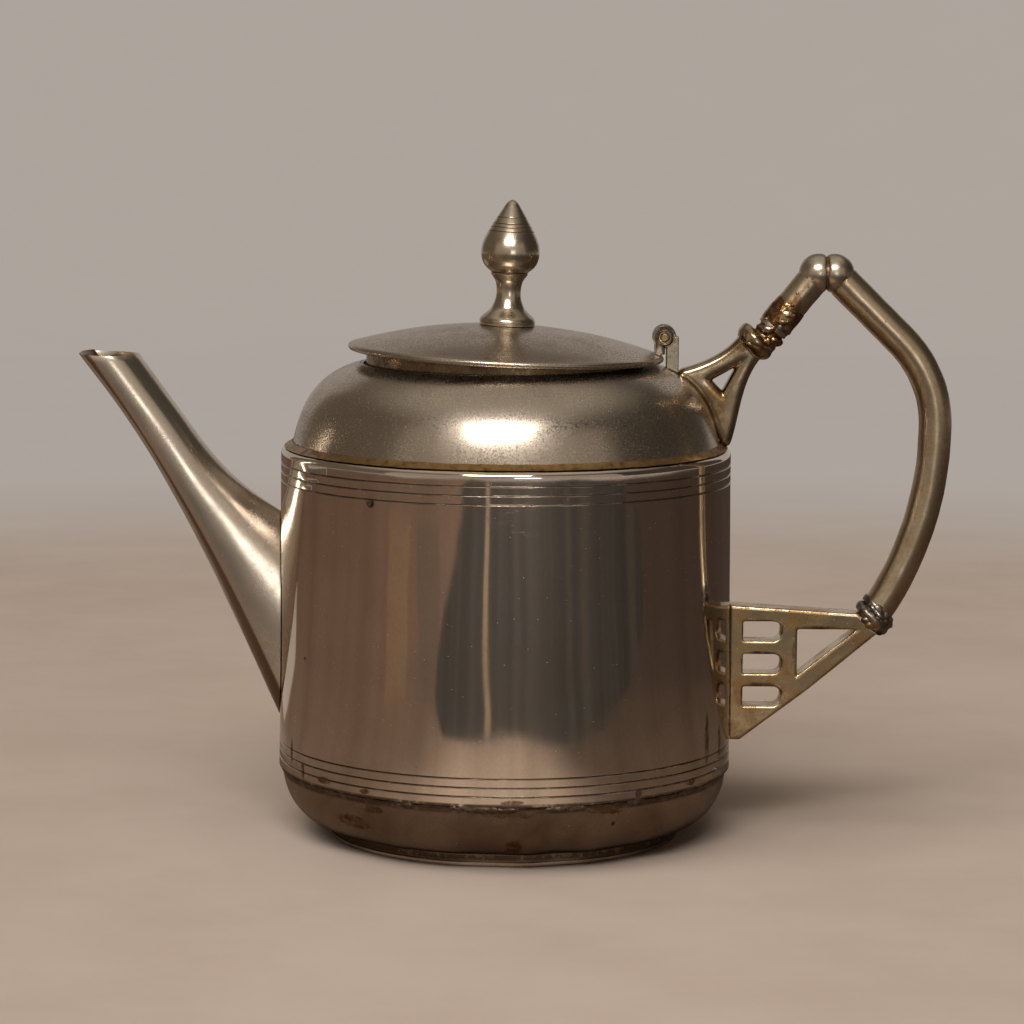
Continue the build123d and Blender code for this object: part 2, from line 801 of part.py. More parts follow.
# The finial's stem, screwed through the lid
washer_top = dome_height(washer_radius, sheet + film)
nut_top = washer_top - washer_thickness
shank_end = nut_top - nut_height - shank_proud
stem_top = dome_top + stem_height
foot_edge = dome_height(finial_foot, -film) + finial_foot_edge
foot_top = dome_top + finial_foot_height
with BuildPart() as finial_stem:
    with BuildSketch(lid_side):
        with BuildLine():
            EllipticalCenterArc(
                (stem_throat, foot_edge),
                finial_foot - stem_throat,
                foot_top - foot_edge,
                start_angle=0,
                arc_size=90,
            )
            stem_hollow = Spline(
                (stem_throat, foot_top),
                (stem_waist, dome_top + stem_waist_height),
                (stem_throat, stem_top - stem_collar_height),
            )
            Polyline(
                stem_hollow @ 1,
                (stem_collar, stem_top - stem_collar_height),
                (stem_collar, stem_top),
                (stud_radius, stem_top),
                (stud_radius, stem_top + stud_length),
                (0, stem_top + stud_length),
                (0, shank_end),
                (shank_radius, shank_end),
                (shank_radius, dome_height(shank_radius, -film)),
            )
            ThreePointArc(
                (shank_radius, dome_height(shank_radius, -film)),
                (finial_foot / 2, dome_height(finial_foot / 2, -film)),
                (finial_foot, dome_height(finial_foot, -film)),
            )
            Line((finial_foot, dome_height(finial_foot, -film)), (finial_foot, foot_edge))
        make_face()
    revolve(axis=lid_axis)
finial_stem.part.label = "finial_stem"
export_step(finial_stem.part, "parts/finial_stem.step")

# The acorn; its upper outline is in shares of the belly's radius and of the height above it
bulb_tip = stem_top + bulb_height
belly = stem_top + bulb_belly
acorn_shares = [(0.892, 0.279), (0.616, 0.576), (0.284, 0.878)]
acorn_points = [(r * bulb_radius, belly + up * (bulb_tip - belly)) for r, up in acorn_shares]
ring_shares = (0.36, 0.505, 0.64)  # places of the cut rings along the upper outline
with BuildPart() as finial_bulb:
    with BuildSketch(lid_side):
        with BuildLine():
            Spline((stem_collar, stem_top), (bulb_radius, belly), tangents=((1, 0.9), (0, 1)))
            acorn_side = Spline(
                (bulb_radius, belly), *acorn_points, (0, bulb_tip), tangents=((0, 1), (-1, 0))
            )
            Polyline((0, bulb_tip), (0, stem_top), (stem_collar, stem_top))
        make_face()
        with Locations([acorn_side @ share for share in ring_shares]):
            Circle(ring_cut, mode=Mode.SUBTRACT)
        with Locations((0, stem_top)):
            Rectangle(
                2 * (stud_radius + film), 2 * (stud_length + spigot_clearance), mode=Mode.SUBTRACT
            )
    revolve(axis=lid_axis)
finial_bulb.part.label = "finial_bulb"
export_step(finial_bulb.part, "parts/finial_bulb.step")

under_lid = Plane(origin=lid_side.origin, x_dir=lid_side.x_dir, z_dir=lid_side.y_dir)
with BuildPart() as finial_washer:
    with BuildSketch(under_lid.offset(nut_top)):
        Circle(washer_radius)
        Circle(shank_radius + film, mode=Mode.SUBTRACT)
    extrude(amount=washer_thickness)
finial_washer.part.label = "finial_washer"
export_step(finial_washer.part, "parts/finial_washer.step")

with BuildPart() as finial_nut:
    with BuildSketch(under_lid.offset(nut_top - nut_height)):
        RegularPolygon(nut_flats / 2, side_count=6, major_radius=False)
        Circle(shank_radius + film, mode=Mode.SUBTRACT)
    extrude(amount=nut_height)
finial_nut.part.label = "finial_nut"
export_step(finial_nut.part, "parts/finial_nut.step")
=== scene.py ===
import bpy
import math
from mathutils import Matrix, Vector


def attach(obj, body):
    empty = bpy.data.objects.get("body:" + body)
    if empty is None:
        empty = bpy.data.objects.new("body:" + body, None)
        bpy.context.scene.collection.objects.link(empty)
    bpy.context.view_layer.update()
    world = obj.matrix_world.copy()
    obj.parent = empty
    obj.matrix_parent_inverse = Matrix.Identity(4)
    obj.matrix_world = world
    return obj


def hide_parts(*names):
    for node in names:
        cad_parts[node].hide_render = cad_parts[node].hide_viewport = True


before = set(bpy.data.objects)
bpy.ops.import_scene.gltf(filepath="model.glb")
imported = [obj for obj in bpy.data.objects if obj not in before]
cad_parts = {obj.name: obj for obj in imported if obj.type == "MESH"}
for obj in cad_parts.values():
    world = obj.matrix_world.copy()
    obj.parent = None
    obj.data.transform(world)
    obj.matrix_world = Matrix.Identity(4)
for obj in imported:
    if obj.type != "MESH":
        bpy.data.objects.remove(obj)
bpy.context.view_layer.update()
mm = 0.001
weldReach = 0.002 * mm  # points closer than this become one
print("frame loaded")


def clearSelection():
    if bpy.context.object and bpy.context.object.mode != "OBJECT":
        bpy.ops.object.mode_set(mode="OBJECT")
    bpy.ops.object.select_all(action="DESELECT")


def pick(piece):
    clearSelection()
    piece.select_set(True)
    bpy.context.view_layer.objects.active = piece


def editAll():  # the picked piece in edit mode, all of it selected
    bpy.ops.object.mode_set(mode="EDIT")
    bpy.ops.mesh.select_all(action="SELECT")


def endEdit():
    bpy.ops.object.mode_set(mode="OBJECT")


def shadeSmooth(sharpAngle=40):  # the picked piece, with edges above the angle kept
    bpy.ops.object.shade_smooth_by_angle(angle=math.radians(sharpAngle))


def settle(piece, name, body, slotName, *nodes):  # name it and tie it to the frame
    piece.name = name
    piece.data.name = name
    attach(piece, body)
    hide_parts(*nodes)
    return piece


def arcPoints(centre, radius, startAngle, endAngle, count):
    points = []
    for step in range(count + 1):
        turn = math.radians(startAngle + (endAngle - startAngle) * step / count)
        points.append((centre[0] + radius * math.cos(turn), centre[1] + radius * math.sin(turn)))
    return points


def tangentArc(start, heading, end, count):  # leaves the start along the heading
    across = Vector((-heading[1], heading[0])).normalized()
    chord = Vector(end) - Vector(start)
    radius = chord.length_squared / (2 * chord.dot(across))
    centre = Vector(start) + across * radius
    first, last = Vector(start) - centre, Vector(end) - centre
    sweep = math.atan2(first.x * last.y - first.y * last.x, first.dot(last))
    points = []
    for step in range(count + 1):
        turn = Matrix.Rotation(sweep * step / count, 2)
        points.append(tuple(centre + turn @ first))
    return points


def smoothLine(points, perSpan, startPull=None, endPull=None):  # a soft line through all the points
    points = [Vector(p) for p in points]
    pulls = []
    for n, point in enumerate(points):
        before, after = points[max(n - 1, 0)], points[min(n + 1, len(points) - 1)]
        pulls.append((after - before) / (1 if n in (0, len(points) - 1) else 2))
    if startPull:
        pulls[0] = Vector(startPull).normalized() * (points[1] - points[0]).length
    if endPull:
        pulls[-1] = Vector(endPull).normalized() * (points[-1] - points[-2]).length
    line = []
    for n in range(len(points) - 1):
        a, b, pa, pb = points[n], points[n + 1], pulls[n], pulls[n + 1]
        for step in range(perSpan):
            t = step / perSpan
            line.append(tuple(
                a * (2 * t**3 - 3 * t**2 + 1) + pa * (t**3 - 2 * t**2 + t)
                + b * (3 * t**2 - 2 * t**3) + pb * (t**3 - t**2)
            ))
    line.append(tuple(points[-1]))
    return line


def cutGrooves(outline, places, cut):  # round-bottomed cuts into the left side of a line
    cutLine = []
    for n, point in enumerate(outline):
        along = Vector(outline[min(n + 1, len(outline) - 1)]) - Vector(outline[max(n - 1, 0)])
        inward = Vector((-along.y, along.x)).normalized()
        nearest = min((Vector(point) - Vector(p)).length for p in places)
        depth = math.sqrt(cut**2 - nearest**2) if nearest < cut else 0
        cutLine.append(tuple(Vector(point) + inward * depth))
    return cutLine


def spinSection(outline, steps, sharpAngle=40):  # a closed half section, in mm, turned about the axis
    clearSelection()
    bpy.ops.mesh.primitive_circle_add(vertices=len(outline), radius=outline[0][0] * mm)
    piece = bpy.context.object
    for vertex, (radius, height) in zip(piece.data.vertices, outline):
        vertex.co = (radius * mm, 0, height * mm)
    editAll()
    bpy.ops.mesh.spin(steps=steps, angle=2 * math.pi, center=(0, 0, 0), axis=(0, 0, 1))
    bpy.ops.mesh.select_all(action="SELECT")
    bpy.ops.mesh.remove_doubles(threshold=weldReach)
    bpy.ops.mesh.delete_loose(use_verts=True, use_edges=True, use_faces=False)
    bpy.ops.mesh.select_all(action="SELECT")
    bpy.ops.mesh.normals_make_consistent(inside=False)
    endEdit()
    shadeSmooth(sharpAngle)
    return piece


def copyNode(nodeName):  # a merged copy of a CAD node, to be worked on
    clearSelection()
    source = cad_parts[nodeName]
    piece = source.copy()
    piece.data = source.data.copy()
    for key in list(piece.keys()):
        del piece[key]
    piece.parent = None
    piece.matrix_world = Matrix.Identity(4)
    bpy.context.scene.collection.objects.link(piece)
    pick(piece)
    piece.data.materials.clear()
    editAll()
    bpy.ops.mesh.remove_doubles(threshold=weldReach)
    endEdit()
    return piece


def applyModifier(piece, kind, **settings):
    pick(piece)
    modifier = piece.modifiers.new(kind.lower(), kind)
    for key, value in settings.items():
        setattr(modifier, key, value)
    bpy.ops.object.modifier_apply(modifier=modifier.name)


def roughen(piece, textureName, grain, strength, middle=0.5):  # push the surface by cloudy noise
    clouds = bpy.data.textures.new(textureName, "CLOUDS")
    clouds.noise_scale = grain * mm
    clouds.noise_depth = 2
    applyModifier(
        piece, "DISPLACE", texture=clouds, texture_coords="GLOBAL", strength=strength * mm, mid_level=middle
    )


def softCopy(nodeName, voxel, rounds, swell=0.0):  # a CAD casting with its edges worn soft
    piece = copyNode(nodeName)
    applyModifier(piece, "REMESH", mode="VOXEL", voxel_size=voxel * mm, use_smooth_shade=True)
    if swell:
        applyModifier(piece, "DISPLACE", strength=swell * mm, mid_level=0)
    applyModifier(piece, "SMOOTH", factor=0.5, iterations=rounds)
    return piece


def cutAcross(piece, middle, outward, **side):  # one straight cut, closed again
    pick(piece)
    editAll()
    bpy.ops.mesh.bisect(plane_co=middle * mm, plane_no=outward, use_fill=True, **side)
    endEdit()


def leanWay(degrees):  # a direction in the side view, up from level
    turn = math.radians(degrees)
    return Vector((math.cos(turn), 0, math.sin(turn)))


def joinPieces(pieces):
    clearSelection()
    for piece in pieces:
        piece.select_set(True)
    bpy.context.view_layer.objects.active = pieces[0]
    bpy.ops.object.join()
    return bpy.context.object


def openLid(piece):  # lid pieces are made shut, then swung to where the lid stands
    hinge = Vector((lidSet["hingeOut"], 0, lidSet["hingeHeight"])) * mm
    pick(piece)
    piece.matrix_world = (
        Matrix.Translation(hinge)
        @ Matrix.Rotation(math.radians(lidSet["ajarAngle"]), 4, "Y")
        @ Matrix.Translation(-hinge)
    )
    bpy.ops.object.transform_apply(location=True, rotation=True, scale=True)


markSet = {  # edges of the marks on every finish, and how far they go into roughness and relief
    "fleckEdge": 0.5, "fleckStep": 0.02, "bandEdge": 0.4, "blotEdge": 0.6, "driftGrain": 3.5,
    "fineTone": (0.35, 0.7), "fineDull": (0.3, 0.8), "pitDull": 0.3, "pitDepth": 0.6, "speckDull": 0.4,
    "scratchStretch": (0.22, 0.4, 1.5), "scratchTurn": (0, 14, 0), "scratchDrift": 0.2,
    "scratchGaps": (2.6, 0.5, 0.55), "scratchWobble": 2, "scratchRelief": 0.2, "bandGaps": (0.3, 0.5),
    "stainGrain": 2.5, "stainGaps": (0.25, 0.6), "flankEdge": 0.35, "flankDull": 0.06,
}


class FinishMaker:
    def __init__(self, name, finish=None):  # a new finish of this name, or nodes for the given one
        self.finish = finish or bpy.data.materials.new(name)
        self.finish.use_nodes = True
        self.tree = self.finish.node_tree
        self.shader = self.tree.nodes.get("Principled BSDF")
        self.spread = self.add("ShaderNodeTexCoord")
        self.place = self.spread.outputs["Object"]

    def add(self, kind, **settings):
        node = self.tree.nodes.new(kind)
        for key, value in settings.items():
            setattr(node, key, value)
        return node

    def feed(self, node, **values):  # a number or colour is set, an output is wired
        for key, value in values.items():
            socket = node.inputs[int(key[1:])] if key[1:].isdigit() else node.inputs[key.replace("_", " ")]
            if isinstance(value, bpy.types.NodeSocket):
                self.tree.links.new(value, socket)
            else:
                socket.default_value = (*value, 1) if socket.type == "RGBA" else value
        return node

    def maths(self, operation, *values):
        node = self.add("ShaderNodeMath", operation=operation)
        self.feed(node, **{f"i{n}": value for n, value in enumerate(values)})
        return node.outputs[0]

    def stretch(self, scale, turn):
        node = self.add("ShaderNodeMapping")
        node.inputs["Scale"].default_value = scale
        node.inputs["Rotation"].default_value = [math.radians(a) for a in turn]
        self.tree.links.new(self.place, node.inputs["Vector"])
        return node.outputs[0]

    def noise(self, size, detail=4, roughness=0.6, place=None, distortion=0):  # size in mm
        node = self.add("ShaderNodeTexNoise")
        self.feed(node, Vector=place or self.place, Scale=1 / (size * mm), Detail=detail,
                  Roughness=roughness, Distortion=distortion)
        return node.outputs["Fac"]

    def band(self, value, low, high, lowTo=0.0, highTo=1.0):  # a soft step from low to high
        node = self.add("ShaderNodeMapRange", interpolation_type="SMOOTHSTEP")
        self.feed(node, i0=value, i1=low, i2=high, i3=lowTo, i4=highTo)
        return node.outputs[0]

    def blend(self, amount, first, second, kind="MIX"):
        node = self.add("ShaderNodeMix", data_type="RGBA", blend_type=kind)
        self.feed(node, i0=amount, i6=first, i7=second)
        return node.outputs[2]

    def flecks(self, size, reach, keep):  # scattered round spots, where cells above keep are chosen
        node = self.add("ShaderNodeTexVoronoi")
        self.feed(node, Vector=self.place, Scale=1 / (size * mm))
        chosen = self.add("ShaderNodeSeparateColor")
        self.tree.links.new(node.outputs["Color"], chosen.inputs[0])
        near = self.band(node.outputs["Distance"], reach, reach * markSet["fleckEdge"])
        return self.maths("MULTIPLY", near, self.band(chosen.outputs[0], keep, keep + markSet["fleckStep"]))

    def blots(self, spots, wobble=1.2):  # soft stains at stated places: middle and half size in mm
        drift = self.add("ShaderNodeTexNoise")
        self.feed(drift, Vector=self.place, Scale=1 / (markSet["driftGrain"] * mm), Detail=4, Roughness=0.6)
        offset = self.add("ShaderNodeVectorMath", operation="MULTIPLY_ADD")
        self.feed(offset, i0=drift.outputs["Color"], i1=(wobble * mm * 2,) * 3, i2=self.place)
        total = None
        for x, y, z, rx, ry, rz in spots:
            shift = self.add("ShaderNodeVectorMath", operation="SUBTRACT")
            self.feed(shift, i0=offset.outputs[0], i1=tuple((v + wobble) * mm for v in (x, y, z)))
            shrink = self.add("ShaderNodeVectorMath", operation="DIVIDE")
            self.feed(shrink, i0=shift.outputs[0], i1=(rx * mm, ry * mm, rz * mm))
            length = self.add("ShaderNodeVectorMath", operation="LENGTH")
            self.feed(length, i0=shrink.outputs[0])
            spot = self.band(length.outputs["Value"], 1.0, markSet["blotEdge"])
            total = spot if total is None else self.maths("MAXIMUM", total, spot)
        return total

    def heightBands(self, bands, tilt=0):  # level bands: height and half width in mm, and strength
        lean = math.radians(tilt)
        rise = self.add("ShaderNodeVectorMath", operation="DOT_PRODUCT")
        self.feed(rise, i0=self.place, i1=(math.sin(lean), 0, math.cos(lean)))
        shut = lidSet["hingeHeight"] * (1 - math.cos(lean)) - lidSet["hingeOut"] * math.sin(lean)
        total = None
        for height, half, strength in bands:
            away = self.maths("ABSOLUTE", self.maths("SUBTRACT", rise.outputs["Value"], (height - shut) * mm))
            part = self.band(away, half * mm, half * markSet["bandEdge"] * mm, 0.0, strength)
            total = part if total is None else self.maths("MAXIMUM", total, part)
        return total

    def shape(self, height, distance):  # relief in mm
        bump = self.add("ShaderNodeBump")
        self.feed(bump, Height=height, Strength=1.0, Distance=distance * mm)
        return bump.outputs[0]

    def mark(self, where, tone, rough, colour, dull, shade=None):  # colour the metal there and dull it
        amount = where if shade is None else self.maths("MULTIPLY", where, shade)
        tone = self.blend(amount, tone, colour)
        return tone, self.maths("ADD", rough, self.maths("MULTIPLY", where, dull))


def metalFinish(name, look):
    m = markSet
    maker = FinishMaker(name)
    cloudy = maker.noise(look["cloudSize"], detail=6, roughness=0.65)
    worn = maker.band(cloudy, look["tarnishFrom"], look["tarnishTo"])
    tone = maker.blend(worn, look["tone"], look["tarnish"])
    fine = maker.noise(look["grainSize"], detail=8, roughness=0.75)
    tone = maker.blend(maker.band(fine, *m["fineTone"], 0, look["grainShade"]), tone, look["deepTone"])
    rough = maker.band(cloudy, look["tarnishFrom"], look["tarnishTo"], look["gloss"], look["dull"])
    rough = maker.maths("ADD", rough, maker.band(fine, *m["fineDull"], 0, look["grainDull"]))
    relief = maker.maths("MULTIPLY", fine, look["grainRelief"])
    for size, reach, keep, shade in look["pits"]:
        pits = maker.flecks(size, reach, keep)
        tone, rough = maker.mark(pits, tone, rough, look["deepTone"], m["pitDull"], shade)
        relief = maker.maths("SUBTRACT", relief, maker.maths("MULTIPLY", pits, m["pitDepth"]))
    for size, reach, keep, shade in look["specks"]:
        specks = maker.flecks(size, reach, keep)
        tone, rough = maker.mark(specks, tone, rough, look["paleTone"], m["speckDull"], shade)
    for size, width, zones, depth in look["scratches"]:  # short and fine, in zones
        gapGrain, gapFrom, gapTo = m["scratchGaps"]
        stretched = maker.stretch(m["scratchStretch"], m["scratchTurn"])
        lines = maker.noise(size, detail=1, place=stretched, distortion=m["scratchDrift"])
        gaps = maker.band(maker.noise(gapGrain, detail=3), gapFrom, gapTo)
        gate = maker.maths("MULTIPLY", maker.blots(zones, m["scratchWobble"]), gaps)
        away = maker.maths("ABSOLUTE", maker.maths("SUBTRACT", lines, 0.5))
        line = maker.maths("MULTIPLY", gate, maker.band(away, width, 0.0))
        rough = maker.maths("ADD", rough, maker.maths("MULTIPLY", line, depth))
        relief = maker.maths("SUBTRACT", relief, maker.maths("MULTIPLY", line, depth * m["scratchRelief"]))
    for bands, colour, dull, patch in look["bands"]:
        gaps = maker.band(maker.noise(patch, detail=6, roughness=0.7), *m["bandGaps"])
        strip = maker.maths("MULTIPLY", maker.heightBands(bands, look["tilt"]), gaps)
        tone, rough = maker.mark(strip, tone, rough, colour, dull)
    if "flank" in look:  # painted reflection: the spout's underside darkened up to its crease, standing in for the dark floor it reflects
        flank = look["flank"]
        parts = maker.add("ShaderNodeSeparateXYZ")
        maker.feed(parts, i0=maker.place)
        edge = maker.maths("MULTIPLY_ADD", parts.outputs["Z"], flank["curve"] / mm, flank["slope"])
        edge = maker.maths("MULTIPLY_ADD", parts.outputs["Z"], edge, flank["foot"] * mm)
        beyond = maker.maths("SUBTRACT", parts.outputs["X"], edge)
        nearEdge, farEdge = (flank["width"] + m["flankEdge"]) * mm, (flank["width"] - m["flankEdge"]) * mm
        strip = maker.band(beyond, nearEdge, farEdge)
        tone, rough = maker.mark(strip, tone, rough, flank["colour"], m["flankDull"])
    for spots, colour, dull, wobble in look["stains"]:
        gaps = maker.band(maker.noise(m["stainGrain"], detail=6, roughness=0.75), *m["stainGaps"])
        stain = maker.maths("MULTIPLY", maker.blots(spots, wobble), gaps)
        tone, rough = maker.mark(stain, tone, rough, colour, dull)
    normal = maker.shape(relief, look["reliefDepth"])
    maker.feed(maker.shader, Base_Color=tone, Roughness=rough, Normal=normal, Metallic=1.0)
    return maker.finish


def dress(finish, *pieces):
    for piece in pieces:
        piece.data.materials.clear()
        piece.data.materials.append(finish)


cameraSet = {  # places in m, turns in degrees, and the lens for a square picture
    "distance": 0.870, "height": 0.19165, "pitch": -7.328, "roll": -0.382, "yaw": 0.103,
    "focalPx": 3547.8, "picturePx": 1024, "sensor": 36.0,
}


def makeCamera():
    c = cameraSet
    cam = bpy.data.cameras.new("camera")
    cam.sensor_width = c["sensor"]
    cam.lens = c["focalPx"] * c["sensor"] / c["picturePx"]
    camera = bpy.data.objects.new("camera", cam)
    bpy.context.scene.collection.objects.link(camera)
    pitch, roll, yaw = (math.radians(c[key]) for key in ("pitch", "roll", "yaw"))
    camera.matrix_world = (
        Matrix.Translation((0, -c["distance"], c["height"]))
        @ Matrix.Rotation(-yaw, 4, "Z")
        @ Matrix.Rotation(math.pi / 2 + pitch, 4, "X")
        @ Matrix.Rotation(-roll, 4, "Z")
    )
    bpy.context.scene.camera = camera


makeCamera()
print("camera placed")


barrelSet = {
    "foot": 17.2, "rim": 96.3, "radius": 56.0, "taper": 0.5, "wall": 0.7, "rimRounding": 1.7,
    "lipRadius": 53.65, "lines": 3, "linePitch": 2.15, "lineCut": 0.17,
    "topLineDrop": 3.7, "lowLineRise": 2.35,
    "lineRows": (-1.3, -1.0, -0.92, -0.7, -0.4, 0, 0.4, 0.7, 0.92, 1.0, 1.3), "lineClear": 0.4,
    "rows": 30, "rowPitch": 2.6, "steps": 224, "wear": (26, 0.22, 1.0),
    "holeRadius": 1.2, "holePitch": 4.4, "holeMiddle": 54.55, "holeSides": 20, "holeReach": 12,
}


def wallRadius(height):
    share = (height - barrelSet["foot"]) / (barrelSet["rim"] - barrelSet["foot"])
    return barrelSet["radius"] - barrelSet["taper"] * share


def makeBarrel():
    b = barrelSet
    lineHeights = [b["foot"] + b["lowLineRise"] + n * b["linePitch"] for n in range(b["lines"])]
    lineHeights += [b["rim"] - b["topLineDrop"] - n * b["linePitch"] for n in range(b["lines"])]
    heights = [b["foot"] + n * b["rowPitch"] for n in range(b["rows"])]
    heights = [h for h in heights if min(abs(h - line) for line in lineHeights) > b["lineClear"]]
    for line in lineHeights:
        heights += [line + side * b["lineCut"] for side in b["lineRows"]]
    corner = b["rim"] - b["rimRounding"]
    outside = [(wallRadius(h), h) for h in sorted(heights) if h < corner]
    outside = cutGrooves(outside, [(wallRadius(h), h) for h in lineHeights], b["lineCut"])
    rimMiddle = (wallRadius(corner) - b["rimRounding"], corner)
    outline = outside + arcPoints(rimMiddle, b["rimRounding"], 0, 90, 12)
    outline += [(b["lipRadius"], b["rim"]), (b["lipRadius"], b["rim"] - b["wall"])]
    outline += arcPoints(rimMiddle, b["rimRounding"] - b["wall"], 90, 0, 6)
    outline += [(wallRadius(h) - b["wall"], h) for h in sorted(heights, reverse=True)[::4] if h < corner - 1]
    outline.append((b["radius"] - b["wall"], b["foot"]))
    barrel = spinSection(outline, b["steps"])
    roughen(barrel, "barrelDents", *b["wear"])
    clearSelection()
    cutters = []
    for across in (-1, 0, 1):
        for up in range(-3, 4):
            side, height = across * b["holePitch"], b["holeMiddle"] + up * b["holePitch"]
            bpy.ops.mesh.primitive_cylinder_add(
                vertices=b["holeSides"], radius=b["holeRadius"] * mm, depth=b["holeReach"] * mm,
                rotation=(0, math.pi / 2, 0), location=(-b["radius"] * mm, side * mm, height * mm),
            )
            cutters.append(bpy.context.object)
    cutter = joinPieces(cutters)
    applyModifier(barrel, "BOOLEAN", object=cutter, operation="DIFFERENCE", solver="EXACT")
    bpy.data.objects.remove(cutter)
    pick(barrel)
    shadeSmooth()
    return settle(barrel, "barrelSheet", "pot", "barrel_plate", "barrel")


shoulderSet = {
    "lapRadius": 53.6, "lap": 4.0, "lapTop": 0.3, "footRadius": 52.85, "footHeading": (-0.17, 1),
    "sideTop": (50.3, 105.3), "sideTurn": 0.39, "mouthHeight": 116.8, "mouthRadius": 35.2,
    "collarWall": 0.75, "collarDepth": 7.0, "collarRound": 0.33, "collarSteps": 192,
    "sheet": 0.7, "film": 0.05, "steps": 224, "wear": (20, 0.25, 1.0),
}


def makeShoulder():
    s = shoulderSet
    rim = barrelSet["rim"]
    edge = s["mouthRadius"] + s["collarWall"] + s["film"]
    outer = [(s["lapRadius"], rim - s["lap"]), (s["lapRadius"], rim - s["lapTop"])]
    side = tangentArc((s["footRadius"], rim + s["film"]), s["footHeading"], s["sideTop"], 16)
    turned = Matrix.Rotation(math.radians(s["sideTurn"]), 2) @ (Vector(side[-1]) - Vector(side[-2]))
    outer += side + tangentArc(s["sideTop"], turned, (edge, s["mouthHeight"]), 36)[1:]
    inner = []
    for n, point in enumerate(outer):
        along = Vector(outer[min(n + 1, len(outer) - 1)]) - Vector(outer[max(n - 1, 0)])
        inner.append(tuple(Vector(point) + Vector((-along.y, along.x)).normalized() * s["sheet"]))
    inner[-1] = (edge, s["mouthHeight"] - s["sheet"])
    shoulder = spinSection(outer + inner[::-2], s["steps"])
    roughen(shoulder, "shoulderDents", *s["wear"])
    return settle(shoulder, "shoulderSheet", "pot", "shoulder_plate", "shoulder")


def makeCollar():
    s = shoulderSet
    top, low = s["mouthHeight"], s["mouthHeight"] - s["collarDepth"]
    inside, outside = s["mouthRadius"], s["mouthRadius"] + s["collarWall"]
    turn = s["collarWall"] * s["collarRound"]
    outline = [(outside, low)] + arcPoints((outside - turn, top - turn), turn, 0, 90, 5)
    outline += arcPoints((inside + turn, top - turn), turn, 90, 180, 5) + [(inside, low)]
    band = spinSection(outline, s["collarSteps"])
    return settle(band, "mouthBand", "pot", "shoulder_plate", "mouth_collar")


panSet = {
    "radius": 55.25, "seam": 17.2, "lap": 4.0, "depth": 14.2, "sheet": 0.7, "steps": 224, "rows": 28,
    "floorRows": 6, "wear": (15, 0.35, 1.0),
    "dents": [(-4, -47, 7.5, 10, 1.75), (13, -46, 5.5, 8, 1.2), (30, -40, 9, 10, 1.1),
              (-33, -35, 10, 12, 1.0), (20, 44, 8, 12, 0.9)],
    "footRadius": 43.5, "footHeight": 3.0, "footBand": 1.4, "footRound": 0.25, "footRows": (1.2, 2.0),
    "footSteps": 192, "footDents": [(-4, -43.5, 3, 9, 0.8), (13, -42, 3, 8, 0.7), (20, 38, 3, 10, 0.4)],
}


def pressDents(piece, dents):  # each: place, reach and depth in mm, pushed towards the axis
    for x, y, z, reach, depth in dents:
        middle = Vector((x, y, z)) * mm
        for vertex in piece.data.vertices:
            away = (vertex.co - middle).length / (reach * mm)
            if away < 1:
                inward = Vector((-vertex.co.x, -vertex.co.y, 0)).normalized()
                vertex.co += inward * depth * mm * (1 - away * away) ** 2


def makePan():
    p = panSet
    outer, inner = [(p["radius"], p["seam"] + p["lap"]), (p["radius"], p["seam"])], []
    inside = p["radius"] - p["sheet"]
    for n in range(1, p["rows"] + 1):
        turn = math.radians(90 * n / p["rows"])
        out, drop = math.cos(turn), math.sin(turn)
        outer.append((p["footRadius"] + (p["radius"] - p["footRadius"]) * out, p["seam"] - p["depth"] * drop))
        inner.append((
            p["footRadius"] + (inside - p["footRadius"]) * out, p["seam"] - (p["depth"] - p["sheet"]) * drop,
        ))
    floorOut = [
        (p["footRadius"] * (1 - n / p["floorRows"]), p["footHeight"]) for n in range(1, p["floorRows"] + 1)
    ]
    floorIn = [(r, p["footHeight"] + p["sheet"]) for r, _ in floorOut]
    inner = [(inside, p["seam"] + p["lap"]), (inside, p["seam"])] + inner
    outline = outer + floorOut + floorIn[::-1] + inner[::-1]
    pan = spinSection(outline[::-1], p["steps"])
    pressDents(pan, p["dents"])
    roughen(pan, "panDents", *p["wear"])
    return settle(pan, "basePan", "pot", "pan_plate", "base_pan")


def makeFoot():
    p = panSet
    outside, inside, turn = p["footRadius"], p["footRadius"] - p["footBand"], p["footBand"] * p["footRound"]
    outline = [(inside, p["footHeight"])] + arcPoints((inside + turn, turn), turn, 180, 270, 5)
    outline += arcPoints((outside - turn, turn), turn, 270, 360, 5)
    outline += [(outside, height) for height in (*p["footRows"], p["footHeight"])]
    foot = spinSection(outline, p["footSteps"])
    pressDents(foot, p["footDents"])
    return settle(foot, "footBand", "pot", "pan_plate", "foot_ring")


seamSet = {  # wear is grain, strength and the level that stays
    "wide": 1.75, "tall": 1.3, "film": 0.05, "steps": 320, "topWear": (2.2, 0.4), "lowWear": (3.0, 0.9, 0.75),
    "lowLine": [(55.25, -0.05), (55.95, -0.05), (55.75, -0.55), (55.2, -1.05)],
    "patchRadius": 55.5, "patchDrop": 0.5, "patchReach": 0.32, "patchWear": (1.6, 0.35, 0.6),
    "patches": [(-25, 2.2, 0.8), (-12, 1.6, 0.6), (-6.5, 5.0, 1.0), (1, 2.5, 0.7), (14.5, 4.2, 1.0),
                (19, 1.5, 0.7), (34.5, 2.6, 1.0), (52, 1.6, 0.7), (-48, 1.8, 0.7), (130, 3.0, 0.9),
                (205, 2.6, 0.8), (165, 4.0, 0.9)],
}


